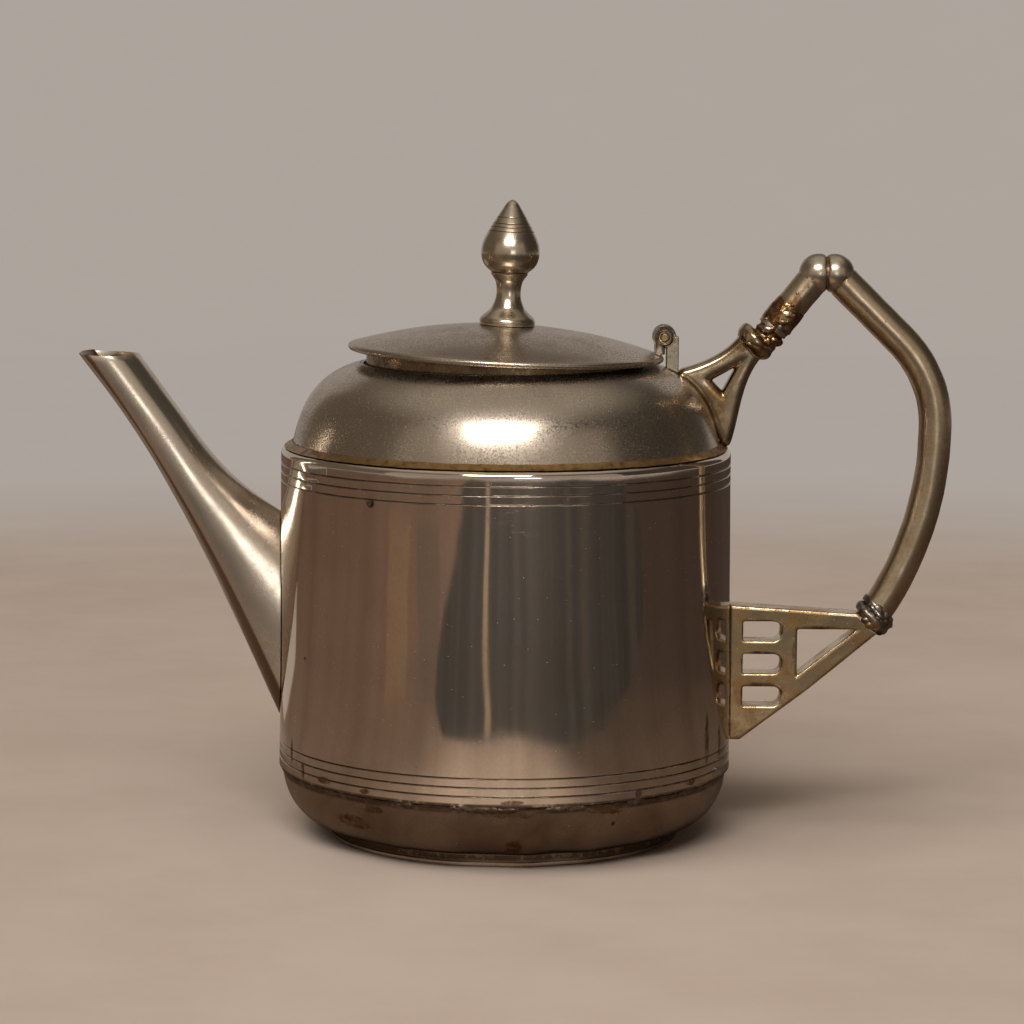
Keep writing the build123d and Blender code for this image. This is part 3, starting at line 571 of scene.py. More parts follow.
def makeSeams():
    s, rim, foot = seamSet, barrelSet["rim"], shoulderSet["footRadius"]
    outline = [(foot + s["film"], rim + s["film"]), (foot + s["wide"], rim + s["film"])]
    outline += [(foot + s["wide"] * 0.5, rim + s["tall"] * 0.35), (foot - s["tall"] * 0.15, rim + s["tall"])]
    top = spinSection(outline, s["steps"])
    roughen(top, "topSeamLumps", *s["topWear"])
    seam = panSet["seam"]
    low = spinSection([(radius, seam + rise) for radius, rise in s["lowLine"][::-1]], s["steps"])
    roughen(low, "lowSeamLumps", *s["lowWear"])
    patches = [low]
    for turn, half, tall in s["patches"]:  # flat drops of solder: turn from the front, half length and height
        clearSelection()
        bpy.ops.mesh.primitive_ico_sphere_add(subdivisions=4, radius=mm)
        patch = bpy.context.object
        angle = math.radians(turn)
        across, forward = s["patchRadius"] * math.sin(angle), -s["patchRadius"] * math.cos(angle)
        patch.scale = (half, s["patchReach"], tall)
        patch.rotation_euler = (0, 0, angle)
        patch.location = (across * mm, forward * mm, (seam - s["patchDrop"]) * mm)
        bpy.ops.object.transform_apply(location=True, rotation=True, scale=True)
        roughen(patch, f"patchLumps{len(patches)}", *s["patchWear"])
        patches.append(patch)
    low = joinPieces(patches)
    bpy.ops.object.shade_smooth()
    settle(top, "shoulderSolder", "pot", "brown_solder", "shoulder_seam")
    settle(low, "baseSolder", "pot", "grey_solder", "base_seam")
    return top, low


spoutSet = {  # edges in the side view; half the section as rise and share of the half width
    "upperEdge": [(-90.2, 118.4), (-81.41, 106.32), (-72.31, 94.08), (-63.01, 85.01), (-52.5, 77.87)],
    "lowerEdge": [(-105.2, 118.4), (-93.59, 102.63), (-82.91, 85.08), (-71.5, 62.8), (-52.5, 20.92)],
    "halfWidths": [8.0, 8.0, 8.3, 8.7, 9.0],
    "halfSection": [
        (0, 0), (0.012, 0.2), (0.05, 0.5), (0.11, 0.77), (0.165, 0.93), (0.2, 0.965), (0.28, 0.99),
        (0.4, 1.0), (0.52, 0.985), (0.64, 0.93), (0.76, 0.82), (0.87, 0.63), (0.95, 0.4), (0.99, 0.18),
        (1, 0),
    ],
    "wall": 0.8, "rows": 10, "ringRows": 3, "wear": (12, 0.2, 1.0), "edgeRound": 0.2,
    "seatRoom": 0.06, "seatSteps": 256,
}


def makeSpout():
    s = spoutSet
    high = smoothLine(s["upperEdge"], s["rows"])
    low = smoothLine(s["lowerEdge"], s["rows"])
    widths = smoothLine([(half, 0) for half in s["halfWidths"]], s["rows"])
    ring = smoothLine(s["halfSection"], s["ringRows"], (0, 1), (0, -1))
    ring += [(rise, -out) for rise, out in ring[-2:0:-1]]
    sections = []
    for (hx, hz), (lx, lz), (half, _) in zip(high, low, widths):
        top, bottom = Vector((hx, 0, hz)), Vector((lx, 0, lz))
        along = (top - bottom).normalized()
        reach = (top - bottom).length
        clearSelection()
        bpy.ops.mesh.primitive_circle_add(vertices=len(ring), radius=half * mm)
        section = bpy.context.object
        for vertex, (rise, out) in zip(section.data.vertices, ring):
            vertex.co = (bottom + along * reach * rise + Vector((0, half * out, 0))) * mm
        sections.append(section)
    spout = joinPieces(sections)
    editAll()
    bpy.ops.mesh.bridge_edge_loops()
    bpy.ops.mesh.select_all(action="SELECT")
    bpy.ops.mesh.normals_make_consistent(inside=False)
    endEdit()
    roughen(spout, "spoutDents", *s["wear"])
    applyModifier(spout, "SOLIDIFY", thickness=s["wall"] * mm, offset=-1, use_even_offset=True)
    edge = {"width": s["edgeRound"] * mm, "limit_method": "ANGLE", "angle_limit": math.radians(60)}
    applyModifier(spout, "BEVEL", segments=2, **edge)
    clearSelection()
    b = barrelSet
    bpy.ops.mesh.primitive_cone_add(  # the barrel's outside, which the spout is cut to fit
        vertices=s["seatSteps"], radius1=(b["radius"] + s["seatRoom"]) * mm,
        radius2=(b["radius"] - b["taper"] + s["seatRoom"]) * mm, depth=(b["rim"] - b["foot"]) * mm,
        location=(0, 0, (b["rim"] + b["foot"]) / 2 * mm),
    )
    drum = bpy.context.object
    applyModifier(spout, "BOOLEAN", object=drum, operation="DIFFERENCE", solver="EXACT")
    bpy.data.objects.remove(drum)
    pick(spout)
    shadeSmooth()
    return settle(spout, "spoutShell", "pot", "spout_plate", "spout_left_shell", "spout_right_shell")


handleSet = {  # points in the side view, in mm; wear is grain, strength and the level that stays
    "elbowNear": (76.3, 139.3), "elbowFar": (80.3, 139.3), "elbowSoft": (0.2, 4),
    "creaseHalf": 0.8, "creaseDepth": 0.45,
    "shortFrom": (65.033, 125.389), "shortRadius": 4.0, "shortWear": (4, 0.25, 0.9),
    "runEnd": (97.0, 122.85), "bow": (105.7, 101.7), "foot": (91.0, 54.004), "longRadius": 4.15,
    "longWear": (5, 0.22, 0.9), "halfStep": 0.5, "collarTilt": 44.0, "collarThickness": 3.0,
    "collarRoom": 0.05,
}


def makeTube(points, radius):  # a round bar along points of the side view
    clearSelection()
    bpy.ops.curve.primitive_bezier_curve_add()
    line = bpy.context.object
    line.data.splines.clear()
    spline = line.data.splines.new("POLY")
    spline.points.add(len(points) - 1)
    for point, (x, z) in zip(spline.points, points):
        point.co = (x * mm, 0, z * mm, 1)
    line.data.dimensions = "3D"
    line.data.bevel_depth = radius * mm
    line.data.bevel_resolution = 10
    line.data.use_fill_caps = True
    bpy.ops.object.convert(target="MESH")
    piece = bpy.context.object
    editAll()
    bpy.ops.mesh.remove_doubles(threshold=weldReach)
    bpy.ops.mesh.normals_make_consistent(inside=False)
    endEdit()
    return piece


def makeLongBar():
    h = handleSet
    run = [Vector(h["elbowFar"]).lerp(Vector(h["runEnd"]), n / 16) for n in range(2, 16)]
    heading = Vector(h["runEnd"]) - Vector(h["elbowFar"])
    bow = tangentArc(h["runEnd"], heading, h["bow"], 16)
    turnedHeading = Vector(bow[-1]) - Vector(bow[-2])
    halfStep = Matrix.Rotation(-math.radians(h["halfStep"]), 2)
    tail = tangentArc(h["bow"], halfStep @ turnedHeading, h["foot"], 32)
    bar = makeTube([tuple(p) for p in run] + bow + tail[1:], h["longRadius"])
    roughen(bar, "longBarWear", *h["longWear"])
    clearSelection()
    outward = leanWay(h["collarTilt"])
    seat = Vector((h["foot"][0], 0, h["foot"][1])) + outward * (h["collarThickness"] / 2 + h["collarRoom"])
    cutAcross(bar, seat, outward, clear_inner=True)
    shadeSmooth()
    return settle(bar, "longBar", "pot", "tarnished_bar", "grip_lower_tube")


def makeShortBar():
    h = handleSet
    run = [Vector(h["shortFrom"]).lerp(Vector(h["elbowNear"]), n / 14) for n in range(13)]
    bar = makeTube([tuple(p) for p in run], h["shortRadius"])
    roughen(bar, "shortBarWear", *h["shortWear"])
    shadeSmooth()
    return settle(bar, "shortBar", "pot", "tarnished_bar", "grip_upper_tube")


def makeElbow():
    h = handleSet
    elbow = softCopy("elbow_bead", *h["elbowSoft"])
    crease = (h["elbowNear"][0] + h["elbowFar"][0]) / 2
    for vertex in elbow.data.vertices:  # the crease between the two lobes
        near = 1 - abs(vertex.co.x / mm - crease) / h["creaseHalf"]
        if near > 0:
            inward = Vector((0, -vertex.co.y, h["elbowNear"][1] * mm - vertex.co.z)).normalized()
            vertex.co += inward * h["creaseDepth"] * mm * near * near
    return settle(elbow, "elbowLobes", "pot", "tarnished_bar", "elbow_bead")


castSet = {  # soft is voxel in mm, rounds of smoothing and swell; wear as on the bars
    "forkSoft": (0.26, 26, 0.4), "forkWear": (9, 0.12, 0.5), "forkCut": 1.2, "forkCutLean": 37.0,
    "beadMiddle": (61.0, 122.35), "beadLean": 43.0, "beadRadius": 5.15, "beadHalf": 2.15, "beadBulge": 1.7,
    "beadHollow": 2.0, "beadBore": 0.8, "beadTurn": 80, "beadVoxel": 0.2, "beadRounds": 8,
    "bracketSoft": (0.24, 3), "bracketWear": (8, 0.12, 0.7), "collarSoft": (0.25, 3),
    "collarWear": (2.5, 0.7, 0.7),
}


def leanPiece(piece, foot, lean):  # stand a turned piece on a point of the side view, leaning from level
    pick(piece)
    piece.matrix_world = (
        Matrix.Translation((foot[0] * mm, 0, foot[1] * mm)) @ Matrix.Rotation(math.radians(90 - lean), 4, "Y")
    )
    bpy.ops.object.transform_apply(location=True, rotation=True, scale=True)
    return piece


def makeCastings():
    c = castSet
    fork = softCopy("upper_fork", *c["forkSoft"])
    outward = leanWay(c["forkCutLean"])
    middle = Vector((c["beadMiddle"][0], 0, c["beadMiddle"][1]))
    cutAcross(fork, middle + outward * c["forkCut"], outward, clear_outer=True)
    outline = [(c["beadHollow"], -c["beadHalf"] * c["beadBore"])]
    for n in range(13):
        turn = math.radians(-c["beadTurn"] + 2 * c["beadTurn"] * n / 12)
        bulge = c["beadBulge"] * math.cos(turn)
        outline.append((c["beadRadius"] - c["beadBulge"] + bulge, c["beadHalf"] * math.sin(turn)))
    outline.append((c["beadHollow"], c["beadHalf"] * c["beadBore"]))
    bead = leanPiece(spinSection(outline, 72), c["beadMiddle"], c["beadLean"])
    fork = joinPieces([fork, bead])
    applyModifier(fork, "REMESH", mode="VOXEL", voxel_size=c["beadVoxel"] * mm, use_smooth_shade=True)
    applyModifier(fork, "SMOOTH", factor=0.5, iterations=c["beadRounds"])
    roughen(fork, "forkWear", *c["forkWear"])
    settle(fork, "forkCasting", "pot", "worn_casting", "upper_fork")
    bracket = softCopy("lower_bracket", *c["bracketSoft"])
    roughen(bracket, "bracketWear", *c["bracketWear"])
    settle(bracket, "bracketCasting", "pot", "worn_casting", "lower_bracket")
    collar = softCopy("lower_collar", *c["collarSoft"])
    roughen(collar, "collarWear", *c["collarWear"])
    settle(collar, "barCollar", "pot", "worn_casting", "lower_collar")
    return fork, bracket, collar


repairSet = {
    "sleeve": [
        (2.0, -4.6), (3.7, -4.6), (3.75, -3.2), (3.2, -2.2), (3.65, -1.5), (3.15, -0.5), (3.6, 0.3),
        (4.0, 1.2), (4.15, 2.4), (4.2, 5.0), (4.1, 6.6), (3.98, 7.6), (3.6, 7.9), (2.0, 7.9),
    ],
    "upper": [  # lumps on a joint: along the bar, turn about it from its far side, and size
        (5.0, 186, 2.3), (4.0, 200, 1.5), (6.0, 205, 1.2), (-0.6, 159, 1.7), (0.3, 176, 1.1),
        (1.7, 193, 1.25), (2.8, 213, 1.3), (-1.8, 217, 1.6), (-1.6, 245, 1.5), (-1.4, 268, 1.3),
        (1.8, 252, 1.2), (1.2, 130, 0.9), (7.8, 176, 0.6), (10.8, 162, 0.6), (0.4, 330, 1.0),
        (1.0, 30, 1.0), (2.4, 60, 0.9), (-1.0, 20, 1.2), (-2.6, 190, 1.0),
    ],
    "lower": [
        (0.2, 205, 1.9), (0.9, 240, 1.7), (0.4, 270, 1.7), (1.4, 170, 1.5), (1.0, 140, 1.4), (0.6, 300, 1.2),
        (-1.3, 215, 1.8), (-1.6, 188, 1.6), (-1.6, 162, 1.6), (-1.2, 243, 1.6), (2.4, 200, 1.3),
        (-1.2, 132, 1.4), (2.6, 160, 1.1), (-0.2, 185, 1.7), (2.0, 228, 1.4), (-0.2, 110, 1.2),
        (0.2, 60, 1.2), (-0.8, 20, 1.3),
    ],
    "lumpSquash": (1.0, 0.8, 0.8), "lumpOut": 0.6, "voxel": 0.16, "upperWear": (1.8, 0.3, 0.6),
    "upperRounds": 2, "lowerWear": (2.4, 0.7, 0.55), "lowerRounds": 7, "lowerShift": 0.5, "lowerReach": 0.5,
}


def addLumps(piece, start, lean, radius, lumps):  # beads of solder let into the surface
    along = Vector((lean[0], 0, lean[1])).normalized()
    upward = Vector((-along.z, 0, along.x))
    beads = [piece]
    for out, turn, size in lumps:
        angle = math.radians(turn)
        side = Vector((0, 1, 0)) * math.cos(angle) + upward * math.sin(angle)
        middle = Vector((start[0], 0, start[1])) + along * out + side * (radius - size * repairSet["lumpOut"])
        clearSelection()
        bpy.ops.mesh.primitive_ico_sphere_add(subdivisions=3, radius=size * mm, location=middle * mm)
        bead = bpy.context.object
        bead.scale = repairSet["lumpSquash"]
        bpy.ops.object.transform_apply(location=True, rotation=False, scale=True)
        beads.append(bead)
    return joinPieces(beads)


def makeRepairs():
    h, r = handleSet, repairSet
    lean = Vector(h["elbowNear"]) - Vector(h["shortFrom"])
    slope = math.degrees(math.atan2(lean.y, lean.x))
    upper = leanPiece(spinSection(r["sleeve"], 72), h["shortFrom"], slope)
    upper = addLumps(upper, h["shortFrom"], lean, h["shortRadius"], r["upper"])
    applyModifier(upper, "REMESH", mode="VOXEL", voxel_size=r["voxel"] * mm, use_smooth_shade=True)
    roughen(upper, "upperRepairLumps", *r["upperWear"])
    applyModifier(upper, "SMOOTH", factor=0.5, iterations=r["upperRounds"])
    settle(upper, "upperRepair", "pot", "copper_solder", "upper_repair_solder")
    way = leanWay(h["collarTilt"])
    start = (h["foot"][0] + way.x * r["lowerShift"], h["foot"][1] + way.z * r["lowerShift"])
    lower = copyNode("lower_repair_solder")
    lower = addLumps(lower, start, (way.x, way.z), h["longRadius"] + r["lowerReach"], r["lower"])
    applyModifier(lower, "REMESH", mode="VOXEL", voxel_size=r["voxel"] * mm, use_smooth_shade=True)
    roughen(lower, "lowerRepairLumps", *r["lowerWear"])
    applyModifier(lower, "SMOOTH", factor=0.5, iterations=r["lowerRounds"])
    settle(lower, "lowerRepair", "pot", "grey_solder", "lower_repair_solder")
    return upper, lower


lidSet = {
    "hingeOut": 38.65, "hingeHeight": 123.55, "ajarAngle": 2.2, "beadBottom": 117.1, "beadRadius": 0.95,
    "beadMiddle": 37.95, "domeTop": 124.8, "domeSphere": 127.05, "sheet": 0.7, "shankRadius": 1.55,
    "rows": 22, "steps": 224, "wear": (18, 0.25, 1.0), "flangeOut": 34.2, "flangeWall": 0.6,
    "flangeDepth": 6.0, "flangeEdge": 0.15, "flangeUnder": 0.75, "flangeSteps": 192,
}


def domeHeight(radius, depth=0.0):
    sphere = lidSet["domeSphere"]
    return lidSet["domeTop"] - sphere + math.sqrt((sphere - depth) ** 2 - radius**2)


def makeLid():
    d = lidSet
    span = d["beadMiddle"] - d["shankRadius"]
    radii = [d["shankRadius"] + span * n / d["rows"] for n in range(d["rows"])]
    beadHeight = d["beadBottom"] + d["beadRadius"]
    outline = [(r, domeHeight(r, d["sheet"])) for r in radii]
    outline += arcPoints((d["beadMiddle"], beadHeight), d["beadRadius"], 175, 445, 16)
    outline += [(r, domeHeight(r)) for r in reversed(radii)]
    dome = spinSection(outline, d["steps"])
    roughen(dome, "lidDents", *d["wear"])
    openLid(dome)
    settle(dome, "lidDome", "lid", "lid_plate", "lid_dome")
    low, edge = d["beadBottom"] - d["flangeDepth"], d["flangeEdge"]
    outside, inside = d["flangeOut"], d["flangeOut"] - d["flangeWall"]
    outline = [(inside, low + edge), (inside + edge, low), (outside - edge, low), (outside, low + edge)]
    outline += [(r, domeHeight(r, d["flangeUnder"])) for r in (outside, inside)]
    flange = spinSection(outline, d["flangeSteps"])
    openLid(flange)
    settle(flange, "lidFlange", "lid", "lid_plate", "lid_flange")
    return dome, flange


finialSet = {
    "stem": [(6.78, 125.3), (6.82, 125.75), (6.42, 126.5), (5.2, 127.6), (4.4, 128.4), (3.9, 129.2),
             (3.15, 131.2), (3.0, 133.2), (3.3, 135.2), (4.03, 136.4), (4.45, 137.0)],
    "stemTop": [(4.5, 137.1), (4.5, 137.35), (4.35, 137.45)], "collarTop": 137.45,
    "studRadius": 1.4, "studTop": 142.15, "studRoom": (0.1, 0.2), "shankLow": 119.97, "shankRoom": 0.05,
    "belly": (7.2, 142.4), "bulbFoot": 4.4,
    "under": [(4.7, 137.75), (5.7, 138.6), (6.4, 139.45), (6.92, 140.7)],
    "acorn": [(7.02, 144.1), (6.45, 145.8), (5.45, 147.8), (4.25, 149.9), (3.05, 151.9), (2.1, 153.4),
              (1.25, 154.6)],
    "tip": 155.3, "rings": [147.65, 148.65, 149.5, 151.0], "ringCut": 0.09, "steps": 128,
}


def makeFinial():
    f = finialSet
    shank = lidSet["shankRadius"] - f["shankRoom"]
    footRadius = f["stem"][0][0]
    outline = [(0, f["shankLow"]), (shank, f["shankLow"]), (shank, lidSet["domeTop"])]
    outline += [(footRadius, domeHeight(footRadius, -f["shankRoom"]))]
    outline += smoothLine(f["stem"], 6) + f["stemTop"]
    outline += [(f["studRadius"], f["collarTop"]), (f["studRadius"], f["studTop"]), (0, f["studTop"])]
    stem = spinSection(outline, f["steps"], 35)
    openLid(stem)
    settle(stem, "finialStem", "lid", "lid_plate", "finial_stem")
    side = smoothLine([(f["bulbFoot"], f["collarTop"]), *f["under"], f["belly"]], 8, (1, 0.9), (0, 1))[:-1]
    cone = smoothLine([f["belly"], *f["acorn"], (0, f["tip"])], 30, (0, 1), (-1, 0.15))
    rings = [min(cone, key=lambda point: abs(point[1] - height)) for height in f["rings"]]
    side += cutGrooves(cone, rings, f["ringCut"])
    side[-1] = (0, f["tip"])
    bore, roof = f["studRadius"] + f["studRoom"][0], f["studTop"] + f["studRoom"][1]
    bulb = spinSection([(0, roof), (bore, roof), (bore, f["collarTop"])] + side, f["steps"], 50)
    openLid(bulb)
    settle(bulb, "finialBulb", "lid", "lid_plate", "finial_bulb")
    return stem, bulb


hingeSet = {
    "lugSoft": (0.16, 2), "lugFace": 39.7, "lugBand": 0.25, "lugTop": 120.8, "lugReach": 0.4,
    "earSoft": (0.12, 1), "legReach": 0.85, "legBand": (37.8, 38.4), "legSpan": (119.35, 121.9),
    "rimRadius": 1.75, "rimRound": 0.32, "earFace": 4.6,
}


def makeHinge():
    h = hingeSet
    post = softCopy("hinge_post", *h["lugSoft"])
    for vertex in post.data.vertices:  # the lug stands close to the lid's edge
        x, z = vertex.co.x, vertex.co.z
        if abs(x - h["lugFace"] * mm) < h["lugBand"] * mm and z < h["lugTop"] * mm:
            vertex.co.x -= h["lugReach"] * mm
    settle(post, "hingeLug", "pot", "hinge_metal", "hinge_post")
    ears = softCopy("lid_hinge_fork", *h["earSoft"])
    (near, far), (low, high) = h["legBand"], h["legSpan"]
    for vertex in ears.data.vertices:  # the ears' legs reach towards the lug
        x, z = vertex.co.x, vertex.co.z
        if near * mm < x < far * mm and low * mm < z < high * mm:
            vertex.co.x += h["legReach"] * mm
    rims = [ears]
    for side in (-1, 1):  # a raised round edge on each ear
        clearSelection()
        bpy.ops.mesh.primitive_torus_add(
            major_radius=h["rimRadius"] * mm, minor_radius=h["rimRound"] * mm, rotation=(math.pi / 2, 0, 0),
            location=(lidSet["hingeOut"] * mm, side * h["earFace"] * mm, lidSet["hingeHeight"] * mm),
        )
        rims.append(bpy.context.object)
    ears = joinPieces(rims)
    settle(ears, "hingeEars", "lid", "hinge_metal", "lid_hinge_fork")
    return post, ears


barrel = makeBarrel()
print("barrel made")
shoulder, band, pan, foot = makeShoulder(), makeCollar(), makePan(), makeFoot()
topSeam, lowSeam = makeSeams()
print("shoulder, pan and seams made")
spout = makeSpout()
print("spout made")
longBar, shortBar, elbow = makeLongBar(), makeShortBar(), makeElbow()
fork, bracket, collar = makeCastings()
upperRepair, lowerRepair = makeRepairs()
print("handle made")
dome, flange = makeLid()
stem, bulb = makeFinial()
post, ears = makeHinge()
print("lid and hinge made")


plateLook = {  # sizes in mm; pits and specks as grain, reach, share kept away and shade
    "tone": (0.72, 0.63, 0.54), "tarnish": (0.64, 0.54, 0.45), "deepTone": (0.16, 0.11, 0.07),
    "paleTone": (0.85, 0.82, 0.78), "cloudSize": 30, "tarnishFrom": 0.4, "tarnishTo": 0.75,
    "gloss": 0.055, "dull": 0.1, "grainSize": 0.9, "grainShade": 0.1, "grainDull": 0.03,
    "grainRelief": 0.03, "reliefDepth": 0.03, "tilt": 0, "scratches": [], "bands": [], "stains": [],
    "pits": [(3.4, 0.06, 0.9, 0.8), (1.6, 0.08, 0.93, 0.7)], "specks": [(1.1, 0.1, 0.84, 0.6)],
}
barrelLook = dict(
    plateLook, scratches=[(1.3, 0.018, [(3, -56, 85, 10, 8, 5)], 0.14)],
    bands=[
        ([(19.55, 0.26, 0.95), (21.7, 0.26, 0.95), (23.85, 0.26, 0.95), (92.6, 0.26, 0.9), (90.45, 0.26, 0.9),
          (88.3, 0.26, 0.9)], (0.07, 0.04, 0.022), 0.35, 12),
        ([(17.2, 0.9, 0.9)], (0.10, 0.055, 0.025), 0.35, 4),
    ],
    stains=[
        ([(49.0, -27.0, 28, 0.7, 2, 8.5), (52.5, -19.5, 26, 0.6, 2, 5), (-51.5, -20.5, 24, 0.7, 2, 4.5),
          (-48.5, -27, 20, 0.6, 2, 3), (-43, -35.5, 19.2, 3.5, 3, 1.1), (-33, -45, 18.6, 1.6, 3, 0.7),
          (2, -56, 18.2, 3.2, 3, 0.9), (32, -46, 18.8, 1.2, 3, 1.2), (45, -33.5, 19, 2.2, 3, 0.9)],
         (0.20, 0.10, 0.04), 0.3, 0.5),
        ([(-31.8, -46.1, 87.5, 1.3, 3, 1.5), (-48, -28.5, 47.5, 0.45, 2, 0.45)],
         (0.05, 0.035, 0.02), 0.4, 0.35),
    ],
)
shoulderLook = dict(
    plateLook, tone=(0.62, 0.54, 0.45), tarnish=(0.50, 0.43, 0.34), cloudSize=16, gloss=0.12, dull=0.22,
    grainSize=0.45, grainShade=0.5, grainDull=0.36, grainRelief=0.08, specks=[(0.6, 0.2, 0.6, 0.5)],
    pits=[(0.75, 0.2, 0.55, 0.55), (1.7, 0.12, 0.85, 0.8)],
    bands=[([(97.1, 0.75, 0.85)], (0.30, 0.18, 0.07), 0.2, 6)],
)
lidLook = dict(shoulderLook, tone=(0.60, 0.52, 0.43), gloss=0.15, dull=0.24, bands=[])
# the flange inside the mouth, under the lid, is painted dark: painted shade
shadedFlangeLook = dict(lidLook, tone=(0.24, 0.17, 0.10), tarnish=(0.10, 0.065, 0.035), cloudSize=4)
finialLook = dict(
    lidLook, tone=(0.66, 0.57, 0.45), tarnish=(0.46, 0.37, 0.26), gloss=0.21, dull=0.29, grainShade=0.3,
    grainDull=0.06, cloudSize=5, pits=[(1.4, 0.14, 0.85, 0.8)], specks=[], tilt=2.2,
    bands=[([(147.65, 0.2, 0.9), (148.65, 0.2, 0.9), (149.5, 0.2, 0.9), (151.0, 0.2, 0.8),
             (137.55, 0.25, 0.9)], (0.20, 0.11, 0.04), 0.25, 4)],
)
# the pan is darker than the plate, partly tarnish and partly painted shade standing in for the shaded floor
# it reflects
panLook = dict(
    plateLook, tone=(0.50, 0.41, 0.33), tarnish=(0.335, 0.245, 0.18), cloudSize=14, gloss=0.14, dull=0.26,
    # dark bands: one just under the base seam, and one low on the foot ring, which is painted shade under the
    # pan
    grainShade=0.25, bands=[([(16.0, 0.9, 0.8), (2.2, 1.0, 0.9)], (0.12, 0.065, 0.03), 0.3, 4)],
    stains=[
        ([(-35, -38, 10, 7, 6, 2.6), (2.5, -48, 7.5, 3.0, 6, 3.5), (4, -50, 11.5, 5, 4, 1.3),
          (-30, -44, 14.2, 4, 4, 1.2), (0, -55, 15.3, 9, 4, 1.2), (24, -50, 15.2, 6, 4, 0.9)],
         (0.17, 0.085, 0.032), 0.3, 1.5),
        ([(25.7, -46, 11.8, 0.8, 5, 0.8)], (0.03, 0.02, 0.012), 0.5, 0.2),
    ],
)
spoutLook = dict(
    plateLook, tone=(0.76, 0.68, 0.57), gloss=0.22, dull=0.3, cloudSize=9, grainShade=0.12,
    pits=[(2.2, 0.08, 0.9, 0.8)],
    # the dark flank is a painted reflection of a dark floor on the spout's underside
    flank={"foot": -45.80, "slope": -0.2896, "curve": -0.001764, "width": 3.3,
           "colour": (0.30, 0.215, 0.155)},
)
castLook = dict(
    plateLook, tone=(0.70, 0.58, 0.40), tarnish=(0.50, 0.36, 0.20), cloudSize=6, gloss=0.18, dull=0.3,
    grainShade=0.3, grainRelief=0.25, pits=[(1.6, 0.16, 0.86, 0.8)], reliefDepth=0.04,
)
forkLook = dict(
    castLook, tone=(0.50, 0.39, 0.26), tarnish=(0.24, 0.155, 0.085), gloss=0.17, dull=0.26, grainRelief=0.05,
    stains=[([(61, -5, 122.4, 2.4, 4, 4.5), (57, -3, 121.5, 2.5, 4, 1.6), (51, -3, 108, 4, 4, 5)],
             (0.20, 0.12, 0.05), 0.05, 1.2)],
)
bracketLook = dict(
    castLook, tone=(0.70, 0.56, 0.35), tarnish=(0.44, 0.28, 0.13), gloss=0.17, dull=0.28, grainRelief=0.08,
    tarnishFrom=0.42, tarnishTo=0.62,
    # dark blots along the slots' upper edges, painted shade there with some deposit; dark blots at the slots'
    # ends and two more by the slots
    stains=[([(63.7, -2, z, 5.6, 3, 0.85) for z in (53.35, 45.5, 37.65)]
             + [(x, -2, z, 0.75, 3, 2.1) for x in (58.9, 68.5) for z in (51.2, 43.4, 35.6)]
             + [(78, -2, 52.0, 7, 3, 0.8), (71.5, -2, 45, 0.7, 3, 7)], (0.07, 0.04, 0.02), 0.2, 0.3)],
)
barLook = dict(
    castLook, tone=(0.62, 0.50, 0.35), tarnish=(0.42, 0.31, 0.19), cloudSize=10, gloss=0.28, dull=0.38,
    grainSize=1.0, stains=[
        ([(68.6, -2, 130.5, 4.2, 5, 3.4), (71.2, -3, 133.2, 1.6, 3, 3.0)], (0.30, 0.16, 0.07), 0.0, 1.2),
        ([(73.3, -1, 136.3, 1.3, 5, 1.3), (83.6, -1, 136.0, 1.3, 5, 1.3)], (0.30, 0.18, 0.09), 0.05, 0.8),
    ],
)
elbowLook = dict(
    barLook, tone=(0.64, 0.56, 0.45), tarnish=(0.44, 0.35, 0.25), gloss=0.27,
    stains=[([(78.3, 0, 139.3, 0.75, 9, 9)], (0.20, 0.11, 0.05), 0.2, 0.15)],
)
# the ears are dark all over, painted shade for the web and the gaps round it; paler on the disc faces and
# legs, brown in the middle at the pin
hingeLook = dict(
    castLook, tone=(0.16, 0.125, 0.08), tarnish=(0.08, 0.06, 0.035), gloss=0.2, cloudSize=1.8, stains=[
        ([(38.65, 0, 123.55, 2.45, 9, 2.45), (37.6, 0, 119.8, 1.9, 9, 2.4)], (0.56, 0.49, 0.38), 0.0, 0.15),
        ([(38.65, 0, 123.55, 1.5, 9, 1.5)], (0.25, 0.16, 0.08), 0.15, 0.2),
    ],
)
lugLook = dict(
    hingeLook, tone=(0.48, 0.42, 0.31), tarnish=(0.24, 0.18, 0.10),
    # a dark patch round the top of the lug, behind the ear: painted shade
    stains=[([(39.3, 0, 124.4, 4.6, 6, 3.7)], (0.07, 0.055, 0.04), 0.15, 0.2)],
)
pinLook = dict(castLook, tone=(0.42, 0.28, 0.13), tarnish=(0.16, 0.09, 0.04), gloss=0.35, cloudSize=1.0)
copperLook = dict(
    castLook, tone=(0.32, 0.18, 0.085), tarnish=(0.34, 0.24, 0.14), deepTone=(0.10, 0.04, 0.015),
    cloudSize=2.2, tarnishFrom=0.5, tarnishTo=0.6, gloss=0.2, dull=0.34, grainSize=1.6, grainShade=0.95,
    stains=[
        ([(68.6, -4.2, 128.7, 2.2, 2.5, 1.7), (63.6, -3.2, 122.6, 1.0, 2, 1.0)],
         (0.80, 0.60, 0.32), 0.0, 0.3),
        ([(63.4, -3.6, 125.7, 1.5, 2, 1.2), (66.9, -3.9, 126.1, 1.0, 2, 0.8),
          (68.5, -3.3, 126.1, 1.0, 2, 0.8), (71.0, -3.6, 134.4, 0.7, 2, 0.7)],
         (0.38, 0.35, 0.31), 0.05, 0.3),
    ],
)
